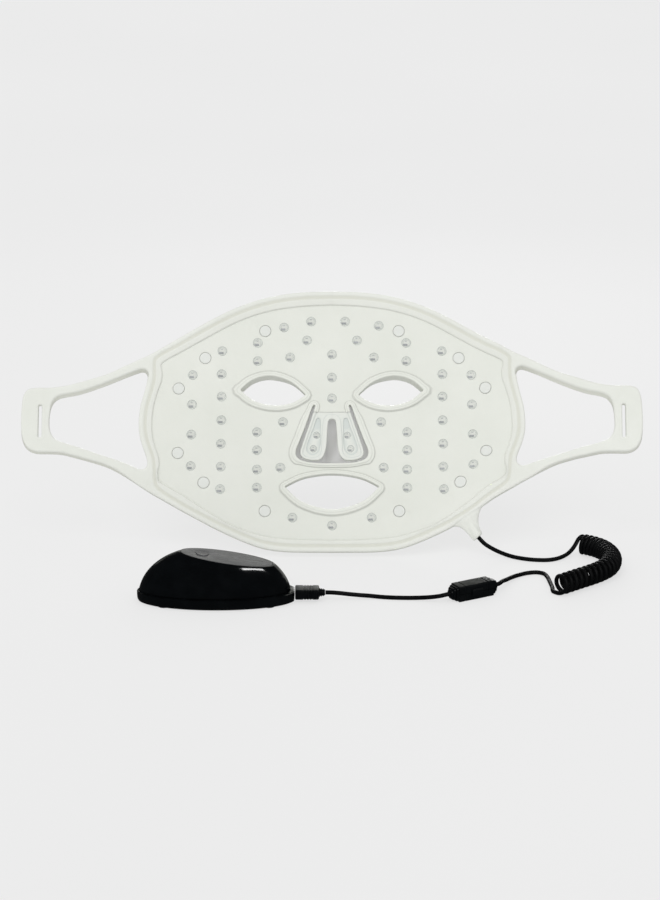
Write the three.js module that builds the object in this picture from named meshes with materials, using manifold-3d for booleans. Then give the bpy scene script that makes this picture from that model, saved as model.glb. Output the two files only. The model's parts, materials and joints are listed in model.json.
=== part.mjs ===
// A flexible LED face mask with ear straps, its curly lead with a ferrite clip and a plug,
// and the battery controller that the plug goes into. Millimetres, +Z up, standing on z = 0.
// The mask leans back and shows its face side, the side with the lamps, towards -Y.
import * as THREE from 'three';
import { mergeVertices } from 'three/addons/utils/BufferGeometryUtils.js';
import { ConvexGeometry } from 'three/addons/geometries/ConvexGeometry.js';
import Module from 'manifold-3d';

const wasm = await Module();
wasm.setup();

// ---- driving dimensions: where things stand ----
const GAP = 0.3; // clearance between pieces that touch
const LEAN = THREE.MathUtils.degToRad(26); // the mask's lean back from upright
const MASK_Y = 52.74;
const MASK_Z = 89.87;
const CONTROLLER_X = -79.2;
const CONTROLLER_Y = -76.1;
const FERRITE_X = 96.9;
const FERRITE_Y = CONTROLLER_Y + 6.4;
const FERRITE_TURN = THREE.MathUtils.degToRad(30);

// ---- driving dimensions: depths through the mask, measured out of its face side ----
const SHELL_BACK = -6;
const SHELL_FLOOR = -4.6; // bottom of the tray in the outer shell
const RIM_FRONT = 1.5;
const SKIN_BACK = -1.4;
const SKIN_FRONT = 0;
const CIRCUIT_BACK = -3.1;
const CIRCUIT_FRONT = -2.7;
const LED_TOP = -1.8;
const ARM_BACK = -3.6;
const ARM_FRONT = 0.6;
const FLAP_BACK = -3;
const ARM_SPLIT = 141; // distance of each arm's bending line from the middle

// ---- driving dimensions: lamps and rivets ----
const DOME_RADIUS = 3.6;
const DOME_HEIGHT = 1.9;
const LED_SIZE = 3;
const RIVET_RADIUS = 4.1;
const SHANK_RADIUS = 1.5;

// ---- driving dimensions: controller ----
const BASE_LENGTH = 110;
const BASE_WIDTH = 47;
const BASE_BOTTOM = 1;
const BASE_TOP = 8;
const BASE_END = 53.4; // flat end face round the socket
const DOME_LENGTH = 106;
const DOME_WIDTH = 43;
const DOME_RISE = 39; // height that the dome would reach without its sloped top
const DOME_SHIFT = -1.4;
const DOME_POWER = 2.2; // 2 is an ellipsoid, more is squarer
const WALL = 1.8;
const PANEL_LENGTH = 63;
const PANEL_WIDTH = 26;
const PANEL_SLOPE = THREE.MathUtils.degToRad(8.8);
const PANEL_AT = [6.9, 31.2]; // middle of the sloped top, along and up
const BUTTON_AT = -17; // along the sloped top
const BUTTON_RADIUS = 4.2;
const SOCKET_Z = 5.6;
const SCREW_X = 36;
const SCREW_Y = 12;

// ---- driving dimensions: lead ----
const CORD_RADIUS = 1.5;
const COIL_RADIUS = 6.75;
const BORE = CORD_RADIUS + 0.4;

// ---- outlines of the mask, right half from top to bottom ----
const RIM_TOP = [[0, 94.6], [22, 93.9], [43, 90.9], [62.6, 85.2], [81, 77], [109.4, 61.6], [127, 51.6]];
const RIM_BOTTOM = [
  [125, -53.5], [109.4, -63.2], [95, -72.5], [80.6, -81.2], [66.2, -87.7], [51.8, -93.1], [36, -95.8],
  [0, -96.4],
];
const STRUT_TOP = [[ARM_SPLIT, 44.8], [152.6, 39.7], [167, 32.9], [181.4, 28.4], [196, 24.9]];
const STRUT_BOTTOM = [[196, -24.4], [181.4, -26.9], [167, -31.1], [152.6, -36.3], [ARM_SPLIT, -42.7]];
const LOOP_TOP = [[195, 15.6], [188.6, 17.8], [174.2, 21.9], [159.8, 26.6], [148, 31.6], [ARM_SPLIT, 34.1]];
const LOOP_BOTTOM = [[ARM_SPLIT, -33.4], [152.6, -29.5], [167, -24.7], [181.4, -20.8], [195, -17.6]];
const LOOP_INNER = [
  [133.4, 34.6], [134.6, 25.6], [137.5, 11], [139, -3.6], [136.1, -18.2], [132.9, -29], [134.8, -33],
];
const TAB_OUTER = [
  [206, 24], [216, 23.3], [222.4, 18], [223.6, 10], [223.6, -10], [222.4, -18], [216, -23.3], [206, -24.2],
];
const STRAP_SLOT = [[209.1, -12], [212, -12], [212, 13], [209.1, 13]];
const TAB_INNER = [[200.5, -12], [203, -3.6], [201.5, 8.5]];
const PANEL = [
  [0, 84.4], [23, 83.2], [44.6, 80], [66.2, 72.9], [95, 58.2], [116, 47], [123.4, 42], [122.8, 35],
  [122.4, 28.5], [128.2, 10.5], [129.4, -3], [126.8, -20.5], [123.6, -32], [124.6, -42], [117, -48.6],
  [87.8, -66.8], [73.4, -75.1], [59, -80.8], [44.6, -84.4], [23, -86.2], [0, -86.6],
];
const EYE_UPPER = [[18.7, 18.6], [30, 28.2], [44.6, 32.5], [57, 29.6], [66.2, 22.2]];
const EYE_LOWER = [[66.2, 22.2], [56, 14.4], [41.8, 11], [28.5, 13], [18.7, 18.6]];
const MOUTH_UPPER = [[-34.2, -48], [-20, -41], [-7, -39.2], [0, -39.8], [7, -39.2], [20, -41], [34.2, -48]];
const MOUTH_LOWER = [[34.2, -48], [22, -58.5], [0, -64.3], [-22, -58.5], [-34.2, -48]];
const NOSE = [[14.8, 12.6], [20.6, -6], [25.6, -22], [22.5, -28], [12, -31], [0, -31.4]];
const BRIDGE = [[0, 6.3], [12.6, 6.3], [12.4, 12.6]]; // tongue that the nose flaps hang from
const FLAP = [
  [0.35, 5.9], [12.4, 5.9], [17.8, -8], [22.3, -21.8], [20.4, -26.4], [16, -28.6], [11.2, -28.4],
  [6, -24.6], [3.6, -20], [1.6, 1],
];
const FLAP_RECESS = [[8.4, -4], [13.6, -4], [18.9, -20], [16, -25.4], [11.2, -25.4], [8, -20.5]];

// lamps that come in pairs, one each side of the middle, and those that don't
const LAMP_PAIRS = {
  forehead: [[53.6, 56.8], [18, 58.6], [79.2, 50.8], [53.6, 43.5], [30.2, 46.1]],
  cheek: [
    [100.4, 33.2], [79.6, 33.9], [79.6, 17.5], [100.8, 11.7], [79.6, 0.3], [35.3, -1.1], [101.2, -10.2],
    [54, -8.4], [79.9, -16.8], [54, -21.5], [101.5, -33.1], [79.9, -33.5], [54, -35.6], [37.1, -34.2],
    [80.3, -49.8], [54, -48.7],
  ],
  chin: [[28.4, -70.4]],
};
const LAMPS_FOREHEAD = [
  [-34.6, 68.1], [-15.1, 72.5], [9.4, 72.5], [33.8, 69.4], [0, 48.3], [0, 31.4], [0, 16.1],
];
const LAMPS_CHIN = [[0, -76.1]];
const LAMPS_FLAP = [[11.2, -10.9], [13.3, -21.1]];
const RIVETS = [[48.2, 65.5], [91.4, 45.7], [110.5, 23.4], [110.9, -23.6], [92.2, -45.1], [48.2, -65.7]];

const FOREHEAD_CIRCUIT = [
  [0, 78], [38, 74.5], [84, 56.5], [84, 46.5], [52, 38.6], [29, 41.2], [6.5, 38], [5.5, 13], [0, 12],
];
const CHEEK_CIRCUIT = [
  [75, 38.5], [105, 38], [106.4, 8], [106.4, -37.5], [85.6, -54.5], [50, -53], [50, -40], [32.6, -38.5],
  [32.6, -29.5], [49, -26], [49, -13], [31, -5], [31, 3], [48, 3.2], [75, 3.2],
];
const CHIN_CIRCUIT = [[0, -71.6], [23.5, -66.6], [33.5, -66.6], [33.5, -74.5], [12, -80.6], [0, -80.6]];

// ---- routes of the lead ----
const GLAND_ROOT = [94.4, -70, -2.2]; // in the mask's own directions
const GLAND_MOUTH = [103.6, -85.4, -2.2];
const MASK_LEAD = [
  [104, 17.6, 11.4], [106.2, 16.4, 9], [109.4, 15.9, 6.8], [113.9, 15.4, 4.4], [120.5, 13, 2.4],
  [127.2, 8.7, 1.6], [134, 4.6, 1.55], [141, 1.6, 1.55], [148.1, 0.8, 1.55], [155.3, 1.9, 1.7],
  [162.4, 4.4, 2.8], [168, 7.6, 5.1], [171.8, 10.6, 8], [174.2, 13, 10.6], [176.6, 15.2, 12],
];
const COIL = [
  [178.1, 15.9, 6.8], [184.8, 14.8, 6.8], [191.4, 9.4, 6.8], [195.6, -0.2, 6.8], [196.9, -13, 6.8],
  [193.9, -27.6, 6.8], [187.4, -38, 6.8], [179.7, -46.3, 6.8], [172.3, -52.8, 6.8], [164.8, -59.5, 6.8],
  [158.2, -65.7, 6.8],
];
const PLUG_LEAD_TAIL = [
  [156, -67.8, 1.55], [153.8, -65, 1.55], [152.6, -60, 1.55], [152.4, -50, 1.55], [152.4, -38, 1.55],
  [151, -27.6, 1.55], [146.6, -22.8, 1.55], [139.3, -24.8, 1.55], [132, -27.6, 1.55], [127, -31.6, 1.7],
  [122.8, -37, 2.4], [120.2, -44.5, 3.6], [118.6, -51.6, 4.9],
];
const PLUG_LEAD_FRONT = [
  [74.4, -81.2, 4.9], [67.5, -78.8, 3.1], [60.5, -76.6, 1.9], [53.6, -76, 1.55], [46.7, -75.8, 1.55],
  [39.9, -75.2, 1.55], [33, -74, 1.6], [26.1, -73.4, 2.1], [19.3, -74.2, 2.9], [12.4, -75.4, 4],
  [5.5, -76, 5], [0, -76.1, 5.5], [-4.6, -76.1, 5.6],
];
const FERRITE_HALF = 14; // half the case without its collars
const COLLAR = 4.6;
const FERRITE_Z = 5.6;
const PLUG_LENGTH = 16.4;
const RELIEF_LENGTH = 4.1;

// ---- materials ----
function material(color, roughness, metalness = 0, opacity = 1) {
  return new THREE.MeshStandardMaterial({ color, roughness, metalness, opacity, transparent: opacity < 1 });
}
const silicone = material(0xe4e6dd, 0.5);
const clearSilicone = material(0xe8eae4, 0.4);
const circuitFilm = material(0xd8a24a, 0.5);
const boardGreen = material(0x2f6b46, 0.5);
const blackPlastic = material(0x141416, 0.35);
const glossBlack = material(0x050506, 0.08);
const greyPanel = material(0x55565a, 0.6);
const blackCord = material(0x101011, 0.45);
const steel = material(0xb9bcc0, 0.3, 1);
const ferriteGrey = material(0x2b2b2e, 0.8);
const batteryFoil = material(0xa9adb2, 0.4, 0.6);
const rubber = material(0x1b1b1c, 0.8);
const rivetPad = material(0xdfe2e0, 0.35);

// ---- solids ----
function toSolid(geometry) {
  const bare = geometry.clone();
  bare.deleteAttribute('normal');
  bare.deleteAttribute('uv');
  const merged = mergeVertices(bare, 1e-4);
  const at = merged.attributes.position.array;
  const corners = Uint32Array.from(merged.index.array);
  let volume = 0;
  const [a, b, c] = [new THREE.Vector3(), new THREE.Vector3(), new THREE.Vector3()];
  for (let i = 0; i < corners.length; i += 3) {
    a.fromArray(at, 3 * corners[i]);
    b.fromArray(at, 3 * corners[i + 1]);
    c.fromArray(at, 3 * corners[i + 2]);
    volume += a.dot(b.cross(c));
  }
  if (volume < 0) corners.reverse();
  const mesh = new wasm.Mesh({ numProp: 3, vertProperties: Float32Array.from(at), triVerts: corners });
  return new wasm.Manifold(mesh);
}

function addPart(group, name, solid, finish) {
  const { vertProperties, triVerts } = solid.getMesh();
  const geometry = new THREE.BufferGeometry();
  geometry.setAttribute('position', new THREE.BufferAttribute(vertProperties, 3));
  geometry.setIndex(new THREE.BufferAttribute(triVerts, 1));
  geometry.computeVertexNormals();
  const mesh = new THREE.Mesh(geometry, finish);
  mesh.name = name;
  group.add(mesh);
  return mesh;
}

const joined = (solids) => solids.reduce((all, one) => all.add(one));
const cut = (solid, tools) => tools.reduce((rest, tool) => rest.subtract(tool), solid);
const placed = (geometry, x, y, z) => toSolid(geometry.translate(x, y, z));

function box([x0, y0, z0], [x1, y1, z1]) {
  const geometry = new THREE.BoxGeometry(x1 - x0, y1 - y0, z1 - z0);
  return placed(geometry, (x0 + x1) / 2, (y0 + y1) / 2, (z0 + z1) / 2);
}

// a round piece standing along z, given as [radius, height] pairs from bottom to top
function turned(profile, sides, x = 0, y = 0) {
  const points = profile.map(([r, z]) => new THREE.Vector2(r, z));
  return placed(new THREE.LatheGeometry(points, sides).rotateX(Math.PI / 2), x, y, 0);
}

const disc = (x, y, radius, low, high, sides = 12) =>
  turned([[0, low], [radius, low], [radius, high], [0, high]], sides, x, y);

// a flat piece with the outline's shape, from one depth to another
function slab(outline, low, high, holes = []) {
  const shape = new THREE.Shape(THREE.ShapeUtils.isClockWise(outline) ? [...outline].reverse() : outline);
  shape.holes = holes.map((hole) => new THREE.Path(hole));
  const geometry = new THREE.ExtrudeGeometry(shape, { depth: high - low, bevelEnabled: false });
  return placed(geometry, 0, 0, low);
}

// a tube along a smooth curve through the points
function tube(points, radius, sides, steps) {
  const section = new THREE.Shape();
  for (let i = 0; i < sides; i += 1) {
    const turn = (2 * Math.PI * i) / sides;
    const corner = [radius * Math.cos(turn), radius * Math.sin(turn)];
    if (i === 0) section.moveTo(...corner);
    else section.lineTo(...corner);
  }
  const knots = points.map((p) => new THREE.Vector3(...p));
  const path = new THREE.CatmullRomCurve3(knots, false, 'centripetal');
  return toSolid(new THREE.ExtrudeGeometry(section, { extrudePath: path, steps, bevelEnabled: false }));
}

// ---- outlines ----
const toPoint = ([x, y]) => new THREE.Vector2(x, y);
const flip = (points) => points.map((p) => new THREE.Vector2(-p.x, p.y)).reverse();
const wholeOf = (half) => [...half, ...flip(half).slice(1, -1)]; // both ends lie on the middle line

function smooth(points, perSpan, closed = false) {
  const knots = points.map(([x, y]) => new THREE.Vector3(x, y, 0));
  const curve = new THREE.CatmullRomCurve3(knots, closed, 'centripetal');
  const spans = closed ? points.length : points.length - 1;
  const at = curve.getPoints(spans * perSpan).map((p) => new THREE.Vector2(p.x, p.y));
  return closed ? at.slice(0, -1) : at;
}

// two curved edges that meet at sharp corners
const almond = (...edges) => edges.flatMap(([points, perSpan]) => smooth(points, perSpan).slice(0, -1));

// moves every corner of an outline outwards by a distance, or inwards by a negative one
function grown(outline, distance) {
  const outward = THREE.ShapeUtils.isClockWise(outline) ? 1 : -1;
  return outline.map((p, i) => {
    const before = outline[(i + outline.length - 1) % outline.length];
    const after = outline[(i + 1) % outline.length];
    const a = p.clone().sub(before).normalize();
    const b = after.clone().sub(p).normalize();
    const normal = new THREE.Vector2(-a.y - b.y, a.x + b.x).normalize().multiplyScalar(outward);
    const lean = Math.max(0.5, Math.sqrt((1 + a.dot(b)) / 2));
    return p.clone().addScaledVector(normal, distance / lean);
  });
}

const panel = wholeOf(smooth(PANEL, 2));
const eyeRight = almond([EYE_UPPER, 3], [EYE_LOWER, 3]);
const eyeLeft = flip(eyeRight);
const mouth = almond([MOUTH_UPPER, 2], [MOUTH_LOWER, 2]);
const noseSide = [...BRIDGE.map(toPoint), ...NOSE.map(toPoint)];
const nose = wholeOf(noseSide);
const openings = [eyeRight, eyeLeft, mouth, nose];

// ---- the mask ----
const mask = new THREE.Group();
mask.position.set(0, MASK_Y, MASK_Z);
mask.rotation.x = Math.PI / 2 - LEAN;

const bothSides = (points) => points.flatMap(([x, y]) => [[x, y], [-x, y]]);
const lamps = (points, low, radius, height) => points.map(([x, y]) =>
  turned([[0, low], [radius, low], [radius * 0.72, height * 0.75], [0, height]], 8, x, y));
const rivetHoles = (radius, low, high, sides) =>
  bothSides(RIVETS).map(([x, y]) => disc(x, y, radius, low, high, sides));

function buildInnerSkin() {
  const plate = slab(grown(panel, -GAP), SKIN_BACK, SKIN_FRONT, openings);
  const ringAround = (opening, width) => slab(grown(opening, width), SKIN_BACK, RIM_FRONT, [opening]);
  const noseHole = slab(nose, SKIN_BACK - 1, RIM_FRONT + 1);
  const noseRing = slab(grown(nose, 5), SKIN_BACK, RIM_FRONT).subtract(noseHole);
  const rims = [ringAround(eyeRight, 4), ringAround(eyeLeft, 4), ringAround(mouth, 4), noseRing];
  const pairs = [...LAMP_PAIRS.forehead, ...LAMP_PAIRS.cheek, ...LAMP_PAIRS.chin];
  const spots = [...bothSides(pairs), ...LAMPS_FOREHEAD, ...LAMPS_CHIN];
  const body = joined([plate, ...rims, ...lamps(spots, SKIN_BACK + 0.4, DOME_RADIUS, DOME_HEIGHT)]);
  return cut(body, rivetHoles(RIVET_RADIUS + GAP, SKIN_BACK - 1, RIM_FRONT + 1, 12));
}

function armStub() {
  const stub = [
    [126, 30], [130, 52], [135.4, 47.2], [ARM_SPLIT - GAP / 2, 44.9], [ARM_SPLIT - GAP / 2, 34.1], [136, 36],
  ];
  const low = [
    [126, -30], [136, -33.8], [ARM_SPLIT - GAP / 2, -33.4], [ARM_SPLIT - GAP / 2, -42.6], [138.2, -44.2],
    [127, -52.2],
  ];
  return [stub, low].flatMap((points) => {
    const outline = points.map(toPoint);
    return [slab(outline, ARM_BACK, ARM_FRONT), slab(flip(outline), ARM_BACK, ARM_FRONT)];
  });
}

function buildOuterShell() {
  const aboveLoop = [[131, 48], [133.4, 43], [133.2, 36]];
  const belowLoop = [[132.6, -34], [133.4, -42], [131, -48.4]];
  const side = [...aboveLoop, ...LOOP_INNER.slice(1, -1), ...belowLoop];
  const outline = wholeOf(smooth([...RIM_TOP.slice(0, -1), ...side, ...RIM_BOTTOM.slice(1)], 2));
  const blank = slab(outline, SHELL_BACK, RIM_FRONT, openings);
  const body = joined([blank.subtract(slab(panel, SHELL_FLOOR, RIM_FRONT + 1)), ...armStub()]);
  const shankHoles = rivetHoles(SHANK_RADIUS + 0.5, SHELL_BACK - 1, SHELL_FLOOR + 1, 8);
  return cut(body, [...shankHoles, glandBlank(GAP)]);
}

function buildArm(side) {
  const outer = smooth([...STRUT_TOP, ...TAB_OUTER, ...STRUT_BOTTOM], 2);
  const inner = smooth([...LOOP_BOTTOM, ...TAB_INNER, ...LOOP_TOP], 2);
  const shift = (p) => new THREE.Vector2(Math.max(p.x, ARM_SPLIT + GAP / 2), p.y);
  const outline = [...outer.map(shift), ...inner.map(shift)];
  const slot = STRAP_SLOT.map(toPoint);
  const frame = grown(slot, -2.8);
  const turn = (points) => (side > 0 ? points : flip(points));
  const blade = slab(turn(outline), ARM_BACK, ARM_FRONT);
  const raised = slab(turn(frame), ARM_BACK, RIM_FRONT);
  return cut(blade.add(raised), [slab(turn(slot), ARM_BACK - 1, RIM_FRONT + 1)]);
}

// a printed film with a lamp at each spot
function buildCircuit(outline, spots) {
  const chips = spots.map(([x, y]) => {
    const half = LED_SIZE / 2;
    return box([x - half, y - half, CIRCUIT_FRONT - 0.1], [x + half, y + half, LED_TOP]);
  });
  return joined([slab(outline, CIRCUIT_BACK, CIRCUIT_FRONT), ...chips]);
}

function buildCheekCircuit(side) {
  const outline = CHEEK_CIRCUIT.map(toPoint);
  const spots = LAMP_PAIRS.cheek.map(([x, y]) => [side * x, y]);
  return buildCircuit(side > 0 ? outline : flip(outline), spots);
}

const RIVET_PROFILE = [
  [0, SHELL_BACK + 0.2], [SHANK_RADIUS, SHELL_BACK + 0.2], [SHANK_RADIUS, -1], [RIVET_RADIUS, -1],
  [RIVET_RADIUS, 0.2], [0, 0.2],
];

// the thin tent over the nose: the hull of a base rim and a raised ridge, hollowed by a smaller hull
const COVER_RIM = [[19, 17], [31, -27], [27, -36]];
const COVER_RIDGE = [[5, 9, -12], [8.5, -27, -25], [15, -33, -20]];
const COVER_WALL = 1.8;

function buildNoseCover() {
  const hull = (inset, shift) => {
    const base = SHELL_BACK - GAP + (inset > 0 ? 1 : 0);
    const rim = COVER_RIM.map(([x, y]) => [x, y, base]);
    const ridge = COVER_RIDGE.map(([x, y, w]) => [x, y, w + shift]);
    const corners = [...rim, ...ridge].flatMap(([x, y, w]) => {
      const level = y - Math.sign(y) * inset * 0.6;
      return [new THREE.Vector3(x - inset, level, w), new THREE.Vector3(inset - x, level, w)];
    });
    return toSolid(new ConvexGeometry(corners));
  };
  const nostrils = [-1, 1].map((side) => box([side * 9 - 4, -50, -17], [side * 9 + 4, -28, -11]));
  return cut(hull(0, 0), [hull(2.2, COVER_WALL), ...nostrils]);
}

function buildNoseFlap(side) {
  const turn = (points) => (side > 0 ? points : flip(points));
  const edge = turn(FLAP.map(toPoint));
  const recess = turn(FLAP_RECESS.map(toPoint));
  return cut(slab(edge, FLAP_BACK, RIM_FRONT - 0.5), [slab(recess, -1.4, RIM_FRONT + 1)]);
}

function buildFlapStrip(side) {
  const outline = grown(FLAP_RECESS.map(toPoint), -GAP);
  const spots = LAMPS_FLAP.map(([x, y]) => [side * x, y]);
  const film = slab(side > 0 ? outline : flip(outline), -1.1, -0.4);
  return joined([film, ...lamps(spots, -0.8, DOME_RADIUS - 1.1, 1.2)]);
}

// the tapered gland, grown by a clearance when it is the pocket that the gland sits in
function glandBlank(clearance) {
  const root = new THREE.Vector3(...GLAND_ROOT);
  const mouthAt = new THREE.Vector3(...GLAND_MOUTH);
  const along = mouthAt.clone().sub(root).normalize();
  const across = new THREE.Vector3(along.y, -along.x, 0);
  const ring = (centre, wide, deep) => [...Array(16).keys()].map((i) => {
    const turn = (2 * Math.PI * i) / 16;
    const up = new THREE.Vector3(0, 0, deep * Math.sin(turn));
    return centre.clone().addScaledVector(across, wide * Math.cos(turn)).add(up);
  });
  const middle = root.clone().lerp(mouthAt, 0.45);
  return toSolid(new ConvexGeometry([
    ...ring(root, 8.5 + clearance, 3.5 + clearance), ...ring(middle, 5.6 + clearance, 3.9 + clearance),
    ...ring(mouthAt.addScaledVector(along, clearance), 3.4 + clearance, 3.4 + clearance),
  ]));
}

addPart(mask, 'inner_skin', buildInnerSkin(), silicone);
addPart(mask, 'outer_shell', buildOuterShell(), silicone);
addPart(mask, 'arm_right', buildArm(1), silicone);
addPart(mask, 'arm_left', buildArm(-1), silicone);
bothSides(RIVETS).forEach(([x, y], i) => {
  const number = String(i + 1).padStart(2, '0');
  addPart(mask, `rivet_${number}`, turned(RIVET_PROFILE, 12, x, y), rivetPad);
});
const foreheadLamps = [...bothSides(LAMP_PAIRS.forehead), ...LAMPS_FOREHEAD];
const clearOfRivets = (solid) => cut(solid, rivetHoles(SHANK_RADIUS + 0.8, CIRCUIT_BACK - 1, LED_TOP + 1, 8));
const foreheadFilm = wholeOf(FOREHEAD_CIRCUIT.map(toPoint));
addPart(mask, 'forehead_circuit', clearOfRivets(buildCircuit(foreheadFilm, foreheadLamps)), circuitFilm);
addPart(mask, 'cheek_circuit_right', clearOfRivets(buildCheekCircuit(1)), circuitFilm);
addPart(mask, 'cheek_circuit_left', clearOfRivets(buildCheekCircuit(-1)), circuitFilm);
const chinLamps = [...bothSides(LAMP_PAIRS.chin), ...LAMPS_CHIN];
const chinFilm = wholeOf(CHIN_CIRCUIT.map(toPoint));
addPart(mask, 'chin_circuit', clearOfRivets(buildCircuit(chinFilm, chinLamps)), circuitFilm);
addPart(mask, 'junction_board', box([70, -62, -4.2], [84, -56, -3.5]), boardGreen);
addPart(mask, 'nose_cover', buildNoseCover(), silicone);
for (const [side, label] of [[1, 'right'], [-1, 'left']]) {
  addPart(mask, `nose_flap_${label}`, buildNoseFlap(side), silicone);
  addPart(mask, `nose_lamp_strip_${label}`, buildFlapStrip(side), clearSilicone);
}
addPart(mask, 'cable_gland', glandBlank(0), silicone);

// ---- the lead ----
const lead = new THREE.Group();
const along = (distance) => [
  FERRITE_X + distance * Math.cos(FERRITE_TURN), FERRITE_Y + distance * Math.sin(FERRITE_TURN), FERRITE_Z,
];
const ferriteEnd = FERRITE_HALF + COLLAR;
const plugLead = [
  ...PLUG_LEAD_TAIL, along(ferriteEnd + 2.5), along(ferriteEnd), along(0), along(-ferriteEnd),
  along(-ferriteEnd - 2.5), ...PLUG_LEAD_FRONT,
];
addPart(lead, 'cord_mask_lead', tube(MASK_LEAD, CORD_RADIUS, 8, 18), blackCord);
addPart(lead, 'cord_coil', tube(COIL, COIL_RADIUS, 12, 15), blackCord);
addPart(lead, 'cord_plug_lead', tube(plugLead, CORD_RADIUS, 8, 38), blackCord);

// ---- the ferrite clip: a case in two halves, each with half of the core, hinged along one side ----
const ferrite = new THREE.Group();
ferrite.position.set(FERRITE_X, FERRITE_Y, FERRITE_Z);
ferrite.rotation.z = FERRITE_TURN;

const lengthwise = (radius, half, sides = 12) =>
  toSolid(new THREE.CylinderGeometry(radius, radius, 2 * half, sides).rotateZ(Math.PI / 2));

function buildFerriteCase(side) {
  const near = side > 0 ? GAP / 2 : -5.6;
  const far = side > 0 ? 5.4 : -GAP / 2;
  const body = box([-FERRITE_HALF, -5.8, near], [FERRITE_HALF, 5.8, far]);
  const keep = box([-ferriteEnd, -6, near], [ferriteEnd, 6, far]);
  const collars = lengthwise(4.1, ferriteEnd).intersect(keep);
  const pocket = box([-11, -4.4, -4.2], [11, 4.4, 4.2]);
  const shell = cut(body.add(collars), [pocket, lengthwise(BORE, ferriteEnd + 1)]);
  if (side < 0) return shell;
  const latch = joined([box([-4, -7.1, -3], [4, -6.15, 2.6]), box([-4, -7.1, 0.8], [4, -5.5, 2.6])]);
  return shell.add(latch);
}

function buildFerriteCore(side) {
  const half = box([-10.7, -4.1, side > 0 ? GAP / 2 : -3.9], [10.7, 4.1, side > 0 ? 3.9 : -GAP / 2]);
  return half.subtract(lengthwise(BORE, 12));
}

addPart(ferrite, 'ferrite_case_lower', buildFerriteCase(-1), blackPlastic);
addPart(ferrite, 'ferrite_case_upper', buildFerriteCase(1), blackPlastic);
addPart(ferrite, 'ferrite_core_lower', buildFerriteCore(-1), ferriteGrey);
addPart(ferrite, 'ferrite_core_upper', buildFerriteCore(1), ferriteGrey);

// ---- the controller and the plug that goes into it ----
const controller = new THREE.Group();
controller.position.set(CONTROLLER_X, CONTROLLER_Y, 0);

function ovalOutline(length, width, count) {
  return new THREE.EllipseCurve(0, 0, length / 2, width / 2).getPoints(count).slice(0, -1);
}

function dome(length, width, rise) {
  const count = 7;
  const profile = [[0, 0]];
  for (let i = 0; i <= count; i += 1) {
    const turn = (Math.PI / 2) * (i / count);
    const radius = (length / 2) * Math.max(0, Math.cos(turn)) ** (2 / DOME_POWER);
    profile.push([i === count ? 0 : radius, rise * Math.sin(turn) ** (2 / DOME_POWER)]);
  }
  const points = profile.map(([r, z]) => new THREE.Vector2(r, z));
  const geometry = new THREE.LatheGeometry(points, 28).rotateX(Math.PI / 2).scale(1, width / length, 1);
  return placed(geometry, DOME_SHIFT, 0, 0);
}

// turns a solid drawn round the middle of the sloped top into the controller's own directions
function onSlope(solid) {
  const [x, z] = PANEL_AT;
  return solid.rotate([0, THREE.MathUtils.radToDeg(PANEL_SLOPE), 0]).translate([x, 0, z]);
}

const SCREWS = [-1, 1].flatMap((j) => [-1, 1].map((i) => [i * SCREW_X, j * SCREW_Y]));

function buildBaseShell() {
  const body = slab(ovalOutline(BASE_LENGTH, BASE_WIDTH, 36), BASE_BOTTOM, BASE_TOP);
  const inside = slab(ovalOutline(BASE_LENGTH - 6, BASE_WIDTH - 6, 30), BASE_BOTTOM + WALL, BASE_TOP + 1);
  const posts = SCREWS.map(([x, y]) => disc(x, y, 3.4, BASE_BOTTOM, BASE_TOP));
  const hole = [[0, 0], [2.6, 0], [2.6, 3.1], [1.5, 3.1], [1.5, BASE_TOP + 1], [0, BASE_TOP + 1]];
  const holes = SCREWS.map(([x, y]) => turned(hole, 12, x, y));
  const mouth = box([44, -5.2, SOCKET_Z - 2.3], [60, 5.2, BASE_TOP + 1]);
  const end = box([BASE_END, -30, -5], [BASE_END + 10, 30, 20]);
  return cut(body.subtract(inside).add(joined(posts)), [...holes, mouth, end]);
}

function buildUpperShell() {
  const outer = dome(DOME_LENGTH, DOME_WIDTH, DOME_RISE);
  const inner = dome(DOME_LENGTH - 2 * WALL, DOME_WIDTH - 2 * WALL, DOME_RISE - WALL);
  const above = (drop) => onSlope(box([-90, -40, -drop], [90, 40, 60]));
  const below = box([-90, -40, -10], [90, 40, BASE_TOP + GAP]);
  const bosses = SCREWS.map(([x, y]) => disc(x, y, 3, BASE_TOP + GAP, 24));
  const threads = SCREWS.map(([x, y]) => disc(x, y, 1.4, 0, 16));
  const hollow = cut(inner, [above(2 * WALL), ...bosses]);
  const seat = onSlope(slab(ovalOutline(PANEL_LENGTH + 2 * GAP, PANEL_WIDTH + 2 * GAP, 32), -1.3, 5));
  const window = onSlope(slab(ovalOutline(PANEL_LENGTH - 8, PANEL_WIDTH - 6, 32), -8, 5));
  const flat = box([50.2, -6, 0], [60, 6, 11.4]);
  return cut(outer, [above(0), below, hollow, seat, window, flat, ...threads]);
}

function buildTopPanel() {
  const panelPlate = slab(ovalOutline(PANEL_LENGTH, PANEL_WIDTH, 32), -1, 0);
  return onSlope(panelPlate.subtract(disc(BUTTON_AT, 0, BUTTON_RADIUS + GAP, -3, 3, 16)));
}

const buildButton = () => onSlope(joined([
  disc(BUTTON_AT, 0, BUTTON_RADIUS, -1.6, 0.5, 16), disc(BUTTON_AT, 0, BUTTON_RADIUS + 1, -2.2, -1.4, 16),
]));
const buildSwitch = () => onSlope(joined([
  box([BUTTON_AT - 3, -3, -6.2], [BUTTON_AT + 3, 3, -4.2]), disc(BUTTON_AT, 0, 1.6, -4.5, -3.2, 10),
]));
const SCREW_PROFILE = [[0, 1.3], [2.3, 1.3], [2.3, 2.8], [1.1, 2.8], [1.1, 14.5], [0, 14.5]];

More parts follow.
